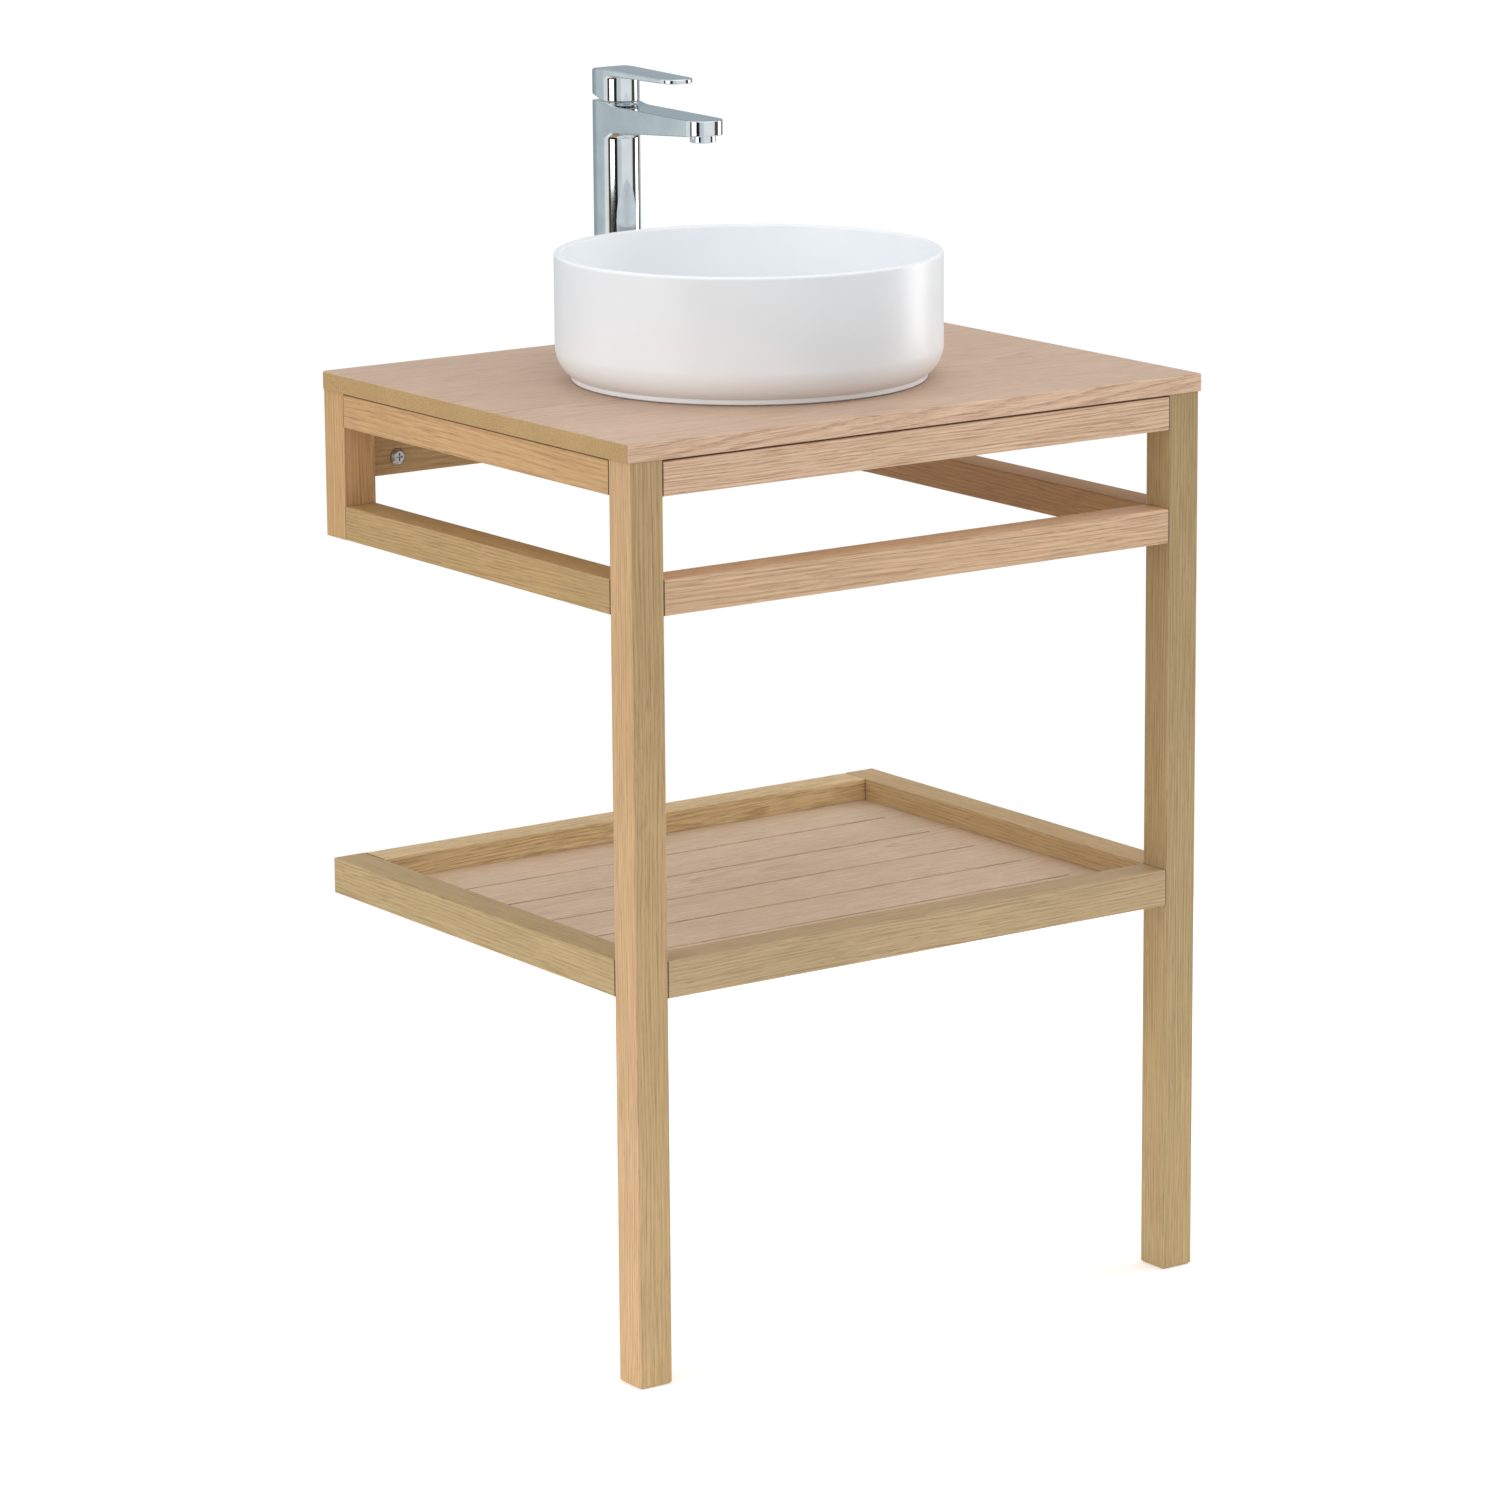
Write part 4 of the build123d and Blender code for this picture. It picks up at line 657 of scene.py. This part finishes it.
        # faces turned along one axis take tones of their own: paler as painted light on the
        # worktop's long edges and the left leg's sides
        facing = add(tree, "ShaderNodeSeparateXYZ", None, {0: coordinates.outputs["Normal"]})
        for axis, tones in SIDE_TONES_AND_PAINTED_LIGHT[node].items():
            outward = add(
                tree,
                "ShaderNodeMath",
                {"operation": "ABSOLUTE"},
                {0: facing.outputs[axis]},
            )
            side_share = add(
                tree,
                "ShaderNodeMapRange",
                {"From Min": 0.6, "From Max": 0.8},
                {"Value": outward.outputs[0]},
            )
            wood = add(
                tree,
                "ShaderNodeMix",
                {"data_type": "RGBA"},
                {0: side_share.outputs[0], 6: wood, 7: toned(*tones)},
            ).outputs[2]
    patch_tone = add(
        tree,
        "ShaderNodeValToRGB",
        None,
        {"Fac": patches.outputs["Fac"]},
        [(0.3, linear("#f3f3ef")), (0.7, linear("#fffdff"))],
    )
    warmed = add(
        tree,
        "ShaderNodeMix",
        {"data_type": "RGBA", "blend_type": "MULTIPLY", 0: 0.8},
        {6: wood, 7: patch_tone.outputs[0]},
    )
    pore_tone = [c * PORE_SHADE for c in linear(dark)[:3]] + [1.0]
    pored = add(
        tree,
        "ShaderNodeMix",
        {"data_type": "RGBA", 7: pore_tone},
        {0: pore_depth.outputs[0], 6: warmed.outputs[2]},
    )
    colour = pored.outputs[2]
    # painted shadow line: each jointed end darkens towards #3a2a1c over its last half millimetre,
    # where the joint's shadow gap falls
    joined = JOINTED_ENDS.get(node, (1, -1))
    lengthwise = add(tree, "ShaderNodeSeparateXYZ", None, {0: centred.outputs[0]})
    for end in joined:
        out = add(
            tree,
            "ShaderNodeMath",
            {"operation": "MULTIPLY", 1: float(end)},
            {0: lengthwise.outputs["X"]},
        )
        line = add(
            tree,
            "ShaderNodeMapRange",
            {"From Min": length / 2 - 1.1 * MM, "From Max": length / 2 - 0.5 * MM, "To Max": 0.8},
            {"Value": out.outputs[0]},
        )
        colour = add(
            tree,
            "ShaderNodeMix",
            {"data_type": "RGBA", 7: linear("#3a2a1c")},
            {0: line.outputs[0], 6: colour},
        ).outputs[2]
    tree.links.new(colour, shader.inputs["Base Color"])
    sheen = add(
        tree,
        "ShaderNodeMapRange",
        {"To Min": 0.46, "To Max": 0.68},
        {"Value": fibres.outputs["Fac"]},
    )
    tree.links.new(sheen.outputs[0], shader.inputs["Roughness"])
    relief = add(
        tree,
        "ShaderNodeMath",
        {"operation": "SUBTRACT"},
        {0: fibres.outputs["Fac"], 1: pore_depth.outputs[0]},
    )
    bump = add(
        tree,
        "ShaderNodeBump",
        {"Strength": 0.4, "Distance": 0.1 * MM},
        {"Height": relief.outputs[0]},
    )
    tree.links.new(bump.outputs[0], shader.inputs["Normal"])
    return material


def satin_glaze():
    """Slip-cast vitreous china under a satin glaze: soft broad highlights, a faint unevenness."""
    material, tree, shader = finish(
        "satin_white_glaze", {"IOR": 1.52, "Coat Weight": 0.25, "Coat Roughness": 0.25}
    )
    place = add(tree, "ShaderNodeTexCoord").outputs["Object"]
    # the cast wall wavers over about 40 mm
    cast = add(tree, "ShaderNodeTexNoise", {"Scale": 25.0, "Detail": 2.0}, {"Vector": place})
    # fine orange peel in the glaze, about 1.5 mm
    peel = add(tree, "ShaderNodeTexNoise", {"Scale": 650.0, "Detail": 2.0}, {"Vector": place})
    tone = add(
        tree,
        "ShaderNodeValToRGB",
        None,
        {"Fac": cast.outputs["Fac"]},
        [(0.3, linear("#f2f5f8")), (0.7, linear("#f4f7fa"))],
    )
    tree.links.new(tone.outputs[0], shader.inputs["Base Color"])
    rough = add(
        tree,
        "ShaderNodeMapRange",
        {"To Min": 0.34, "To Max": 0.46},
        {"Value": peel.outputs["Fac"]},
    )
    tree.links.new(rough.outputs[0], shader.inputs["Roughness"])
    bump = add(
        tree,
        "ShaderNodeBump",
        {"Strength": 0.15, "Distance": 0.03 * MM},
        {"Height": peel.outputs["Fac"]},
    )
    tree.links.new(bump.outputs[0], shader.inputs["Normal"])
    return material


def plated_chrome():
    """Bright chrome over polished brass: mirror-like, a little blue, with a trace of haze."""
    material, tree, shader = finish("polished_chrome_plate", {"Metallic": 1.0})
    place = add(tree, "ShaderNodeTexCoord").outputs["Object"]
    # wiping haze: patches about 17 mm across
    haze = add(tree, "ShaderNodeTexNoise", {"Scale": 60.0, "Detail": 3.0}, {"Vector": place})
    tone = add(
        tree,
        "ShaderNodeValToRGB",
        None,
        {"Fac": haze.outputs["Fac"]},
        [(0.35, linear("#ccd3d6")), (0.65, linear("#d6dcde"))],
    )
    tree.links.new(tone.outputs[0], shader.inputs["Base Color"])
    rough = add(
        tree,
        "ShaderNodeMapRange",
        {"To Min": 0.035, "To Max": 0.075},
        {"Value": haze.outputs["Fac"]},
    )
    tree.links.new(rough.outputs[0], shader.inputs["Roughness"])
    # plating ripple: about 12 mm across and under a hundredth of a millimetre high
    ripple = add(tree, "ShaderNodeTexNoise", {"Scale": 80.0, "Detail": 0.0}, {"Vector": place})
    bump = add(
        tree,
        "ShaderNodeBump",
        {"Strength": 0.15, "Distance": 0.005 * MM},
        {"Height": ripple.outputs["Fac"]},
    )
    tree.links.new(bump.outputs[0], shader.inputs["Normal"])
    return material


def stock_finish(name, pale, dark, gloss, marks_per_metre, relief, metallic):
    """A turned, ground or moulded stock: two near tones, an uneven gloss and a fine relief."""
    material, tree, shader = finish(name, {"Metallic": metallic})
    place = add(tree, "ShaderNodeTexCoord").outputs["Object"]
    stretched = add(tree, "ShaderNodeMapping", {"Scale": marks_per_metre}, {"Vector": place})
    marks = add(
        tree,
        "ShaderNodeTexNoise",
        {"Scale": 1.0, "Detail": 3.0},
        {"Vector": stretched.outputs[0]},
    )
    tone = add(
        tree,
        "ShaderNodeValToRGB",
        None,
        {"Fac": marks.outputs["Fac"]},
        [(0.3, linear(dark)), (0.7, linear(pale))],
    )
    tree.links.new(tone.outputs[0], shader.inputs["Base Color"])
    rough = add(
        tree,
        "ShaderNodeMapRange",
        {"To Min": gloss[0], "To Max": gloss[1]},
        {"Value": marks.outputs["Fac"]},
    )
    tree.links.new(rough.outputs[0], shader.inputs["Roughness"])
    bump = add(
        tree,
        "ShaderNodeBump",
        {"Strength": 0.4, "Distance": relief * MM},
        {"Height": marks.outputs["Fac"]},
    )
    tree.links.new(bump.outputs[0], shader.inputs["Normal"])
    return material


# oak tones as pale and dark wood
HONEY = ("#c5a87a", "#a78558")
STRAW = ("#c1a881", "#a28660")
RUSH = ("#b9a073", "#9c8155")
OLIVE = ("#bb9c6a", "#9f7d4e")
ROSE = ("#edc9aa", "#b88d69")
BLUSH = ("#e2bf9b", "#b48e68")
AMBER = ("#cfa777", "#b18657")
FIGURED = ("#e0c596", "#a58558")
# faces with tones of their own: the worktop's front and back edges, paler as painted light, and its
# darker ends; the left leg's sides, paler as painted light
SIDE_TONES_AND_PAINTED_LIGHT = {
    "worktop": {"X": ("#bf9e6c", "#a3804f"), "Y": ("#ecc8aa", "#bd9575")},
    "front_left_leg": {"X": ("#d0ac80", "#b18a5e")},
}
# a darker brown as painted shade, for the right lower rail, which lies in shade inside the frame
PAINTED_SHADE_BROWN = ("#b58c5e", "#956c42")
WORKTOP = ("#ccb09a", "#ad8d73")
# paler tones for the shelf floor as painted light, standing in for light where it lies in the
# worktop's shade
SHELF_PAINTED_PALE = ("#dcc7ae", "#bfa484")
# node: grain direction, the tree's middle across the grain in mm, its lean in degrees, tones
BOARDS = {
    "worktop": ("x", (60, 55), (0.0, 1.0, 1.6), WORKTOP),
    "shelf_floor": ("x", (-40, 48), (0.0, 1.4, -1.8), SHELF_PAINTED_PALE),
    "front_upper_rail": ("x", (110, 140), (0.0, 0.4, 0.8), ROSE),
    "front_lower_rail": ("x", (-130, 110), (0.0, -0.6, 0.5), BLUSH),
    "wall_batten": ("x", (120, 90), (0.0, 0.5, 0.8), HONEY),
    "shelf_front_bar": ("x", (120, -150), (0.0, 0.5, -0.7), STRAW),
    "shelf_back_bar": ("x", (30, 4), (0.0, 2.4, 1.2), FIGURED),
    "front_left_leg": ("z", (150, 110), (0.0, 0.3, 0.5), HONEY),
    "front_right_leg": ("z", (120, -140), (0.0, -0.4, 0.3), RUSH),
    "rear_left_post": ("z", (-120, 150), (0.0, 0.4, 0.6), AMBER),
    "rear_right_post": ("z", (130, 110), (0.0, 0.5, -0.6), HONEY),
    "left_upper_rail": ("y", (110, 90), (0.0, 1.2, 0.9), AMBER),
    "left_lower_rail": ("y", (-90, 120), (0.0, -0.8, 0.7), OLIVE),
    "right_upper_rail": ("y", (140, -110), (0.0, 0.6, 0.9), HONEY),
    "right_lower_rail": ("y", (-120, -110), (0.0, 0.7, -0.8), PAINTED_SHADE_BROWN),
    "shelf_left_bar": ("y", (130, 150), (0.0, 0.8, 0.9), RUSH),
    "shelf_right_bar": ("y", (-110, 130), (0.0, 1.0, -0.8), HONEY),
}
# which ends meet another piece, forward (1) or back (-1) along the grain; the rest have both
JOINTED_ENDS = {
    "worktop": (),
    "shelf_floor": (),
    "front_left_leg": (),
    "front_right_leg": (),
    "rear_left_post": (),
    "rear_right_post": (),
    "shelf_left_bar": (-1,),
    "shelf_right_bar": (-1,),
}
# slot: name, pale and dark tone, roughness, marks per metre, relief in mm, metallic; the marks
# are drawn coarser than lathe, grinding and mould marks of a tenth of a millimetre or less
STOCKS = {
    # close-grained wood off the lathe: pale, matt and faintly mottled
    "beech_dowel": (
        "turned_beech", "#d9b98c", "#c49f70", (0.5, 0.7), (300, 300, 300), 0.05, 0.0,
    ),
    # barrel-plated steel: pale grey metal with a cloudy, soft shine
    "zinc_screw": (
        "zinc_plated_steel", "#c8c9ca", "#a9abad", (0.22, 0.4), (900, 900, 900), 0.02, 1.0,
    ),
    # a tooled bead of clear sealant, coloured grey as painted shadow: the dark contact line under
    # the basin
    "sealant": (
        "grey_silicone_painted_shadow", "#8f8a84", "#7d7872", (0.45, 0.6), (200, 200, 200), 0.05, 0.0,
    ),
    # brass off the lathe: yellow, bright, with fine turning lines one above the other
    "brass": (
        "machined_brass", "#cda96a", "#b48f52", (0.18, 0.34), (200, 200, 2500), 0.02, 1.0,
    ),
    # pressed in a mould: near black and dull
    "black_rubber": (
        "moulded_rubber", "#2a2a2b", "#1d1d1e", (0.6, 0.8), (800, 800, 800), 0.04, 0.0,
    ),
    # injection moulded: an even mid grey with a silky gloss
    "grey_plastic": (
        "moulded_acetal", "#8f9296", "#7f8286", (0.35, 0.5), (500, 500, 500), 0.02, 0.0,
    ),
    # lapped flat: warm white and nearly glossy
    "disc_ceramic": (
        "ground_alumina", "#efeee9", "#e3e1da", (0.15, 0.25), (900, 900, 900), 0.005, 0.0,
    ),
    # ground steel: bright, with fine streaks along the pin, which lies along x
    "steel_pin": (
        "ground_steel", "#bfc0c1", "#a4a6a7", (0.2, 0.3), (60, 2500, 2500), 0.01, 1.0,
    ),
}


def dress(node, material):
    """Gives a carried-over frame node its finish."""
    for slot in NODES[node].material_slots:
        slot.material = material


def dress_piece(piece, material):
    """Gives a piece built here its finish."""
    piece.data.materials.clear()
    piece.data.materials.append(material)


def dress_everything():
    """Gives every carried-over node its finish, and hands back the chrome for the mixer."""
    for node, (along, aim, tilt, tones) in BOARDS.items():
        dress(node, oiled_oak(node, along, aim, tilt, *tones))
    chrome = plated_chrome()
    finishes = {slot: stock_finish(*values) for slot, values in STOCKS.items()}
    finishes["chrome"] = chrome
    for part in frame["record"]["subparts"]:
        if part["node"] not in BOARDS and part["material_slot"] in finishes:
            dress(part["node"], finishes[part["material_slot"]])
    return chrome


# ---- studio ----
def studio_floor():
    """A plain pale floor under the feet."""
    bpy.ops.mesh.primitive_grid_add(x_subdivisions=4, y_subdivisions=4, size=2.3)
    floor = bpy.context.object
    floor.name = "studio_floor"
    floor.location = (0, -0.24, -0.2 * MM)
    material, _, _ = finish(
        "white_light_table",
        {
            "Base Color": linear("#f4f4f4"),
            "Roughness": 0.9,
            "Emission Color": linear("#ffffff"),
            "Emission Strength": 0.30,
        },
    )
    floor.data.materials.append(material)


def studio_walls():
    """White to the eye; in polished metal, the bright and dark screens that stand round the set."""
    world = bpy.data.worlds.new("studio")
    bpy.context.scene.world = world
    world.use_nodes = True
    tree = world.node_tree
    tree.nodes.clear()
    direction = add(tree, "ShaderNodeTexCoord").outputs["Generated"]
    parts = add(tree, "ShaderNodeSeparateXYZ", None, {"Vector": direction})
    # the bearing in degrees from straight in front of the washstand, positive to its right
    back = add(tree, "ShaderNodeMath", {"operation": "MULTIPLY", 1: -1.0}, {0: parts.outputs["Y"]})
    angle = add(
        tree,
        "ShaderNodeMath",
        {"operation": "ARCTAN2"},
        {0: parts.outputs["X"], 1: back.outputs[0]},
    )
    share = add(
        tree,
        "ShaderNodeMapRange",
        {"From Min": -math.pi, "From Max": math.pi},
        {"Value": angle.outputs[0]},
    )
    cool, shade, dark = "#dbe4e6", "#a7b3ba", "#26221f"
    brown, white = "#7a6353", "#ffffff"
    screens = [
        (-180, shade),
        (-150, shade),
        (-144, cool),
        (-141, white),
        (-113, white),
        (-108, dark),
        (-92, brown),
        (-84, dark),
        (-55, dark),
        (-49, cool),
        (-31, cool),
        (-26, white),
        (31, white),
        (38, cool),
        (43, dark),
        (60, brown),
        (68, dark),
        (100, brown),
        (112, cool),
        (122, shade),
        (180, shade),
    ]
    stops = [((bearing + 180) / 360, linear(colour)) for bearing, colour in screens]
    walls = add(tree, "ShaderNodeValToRGB", None, {"Fac": share.outputs[0]}, stops)
    # the screens end above and below: overhead is a white softbox
    height = add(
        tree,
        "ShaderNodeMapRange",
        {"From Min": 0.45, "From Max": 0.7},
        {"Value": parts.outputs["Z"]},
    )
    room = add(
        tree,
        "ShaderNodeMix",
        {"data_type": "RGBA", 7: linear(white)},
        {0: height.outputs[0], 6: walls.outputs[0]},
    )
    path = add(tree, "ShaderNodeLightPath")
    seen = add(
        tree,
        "ShaderNodeMix",
        {"data_type": "RGBA", 6: linear(white)},
        {0: path.outputs["Is Glossy Ray"], 7: room.outputs[2]},
    )
    direct = add(
        tree,
        "ShaderNodeMath",
        {"operation": "MAXIMUM"},
        {0: path.outputs["Is Camera Ray"], 1: path.outputs["Is Glossy Ray"]},
    )
    # the light that falls on the piece comes more from above than from below
    skyward = add(
        tree,
        "ShaderNodeMapRange",
        {"From Min": -0.35, "From Max": 0.6, "To Min": 0.34, "To Max": 0.90},
        {"Value": parts.outputs["Z"]},
    )
    power = add(
        tree,
        "ShaderNodeMix",
        {3: 1.02},
        {0: direct.outputs[0], 2: skyward.outputs[0]},
    )
    light = add(
        tree,
        "ShaderNodeBackground",
        None,
        {"Color": seen.outputs[2], "Strength": power.outputs[0]},
    )
    add(tree, "ShaderNodeOutputWorld", None, {"Surface": light.outputs[0]})


def softbox(name, place, aim, width, height, watts):
    """A soft white rectangular light at a place, turned to face its aim."""
    lamp = bpy.data.lights.new(name, "AREA")
    lamp.shape = "RECTANGLE"
    lamp.size = width
    lamp.size_y = height
    lamp.energy = watts
    light = bpy.data.objects.new(name, lamp)
    light.location = place
    light.rotation_euler = (Vector(aim) - Vector(place)).to_track_quat("-Z", "Y").to_euler()
    bpy.context.scene.collection.objects.link(light)


def camera():
    """Looks from the left of the front, a little above the worktop's edge."""
    turn, tip, roll = math.radians(-35.038), math.radians(12.694), math.radians(-0.425)
    aim, distance = Vector((-12.8, -240.0, 469.8)) * MM, 5337.2 * MM
    # the focal length is in the same unit as the width of the picture
    sensor, focal, picture = 36, 6062.3, 1500
    level = math.cos(tip)
    back = Vector((math.sin(turn) * level, -math.cos(turn) * level, math.sin(tip)))
    right = (-back).cross(Vector((0, 0, 1))).normalized()
    above = right.cross(-back)
    side = right * math.cos(roll) + above * math.sin(roll)
    top = above * math.cos(roll) - right * math.sin(roll)
    lens = bpy.data.cameras.new("camera")
    lens.sensor_width = sensor
    lens.lens = sensor * focal / picture
    lens.clip_end = 60
    holder = bpy.data.objects.new("camera", lens)
    place = aim + back * distance
    holder.matrix_world = Matrix(
        [
            [side.x, top.x, back.x, place.x],
            [side.y, top.y, back.y, place.y],
            [side.z, top.z, back.z, place.z],
            [0, 0, 0, 1],
        ]
    )
    bpy.context.scene.collection.objects.link(holder)
    bpy.context.scene.camera = holder


def studio():
    """Floor, surroundings, three soft lights and the camera."""
    scene = bpy.context.scene
    scene.view_settings.view_transform = "Standard"
    scene.view_settings.look = "None"
    studio_floor()
    studio_walls()
    softbox("left_key", (-2.4, -0.4, 1.3), (-0.1, -0.3, 0.7), 1.2, 1.4, 16)
    softbox("top_fill", (0.3, -0.6, 2.6), (0.0, -0.25, 0.8), 1.8, 1.8, 6)
    softbox("right_fill", (2.6, -0.8, 1.05), (0.0, -0.3, 0.8), 1.0, 1.6, 24)
    camera()


# ---- the whole ----
chrome = dress_everything()
dress_piece(basin_piece(), satin_glaze())
dress_piece(mixer_body_piece(), chrome)
dress_piece(lever_piece(), chrome)
studio()
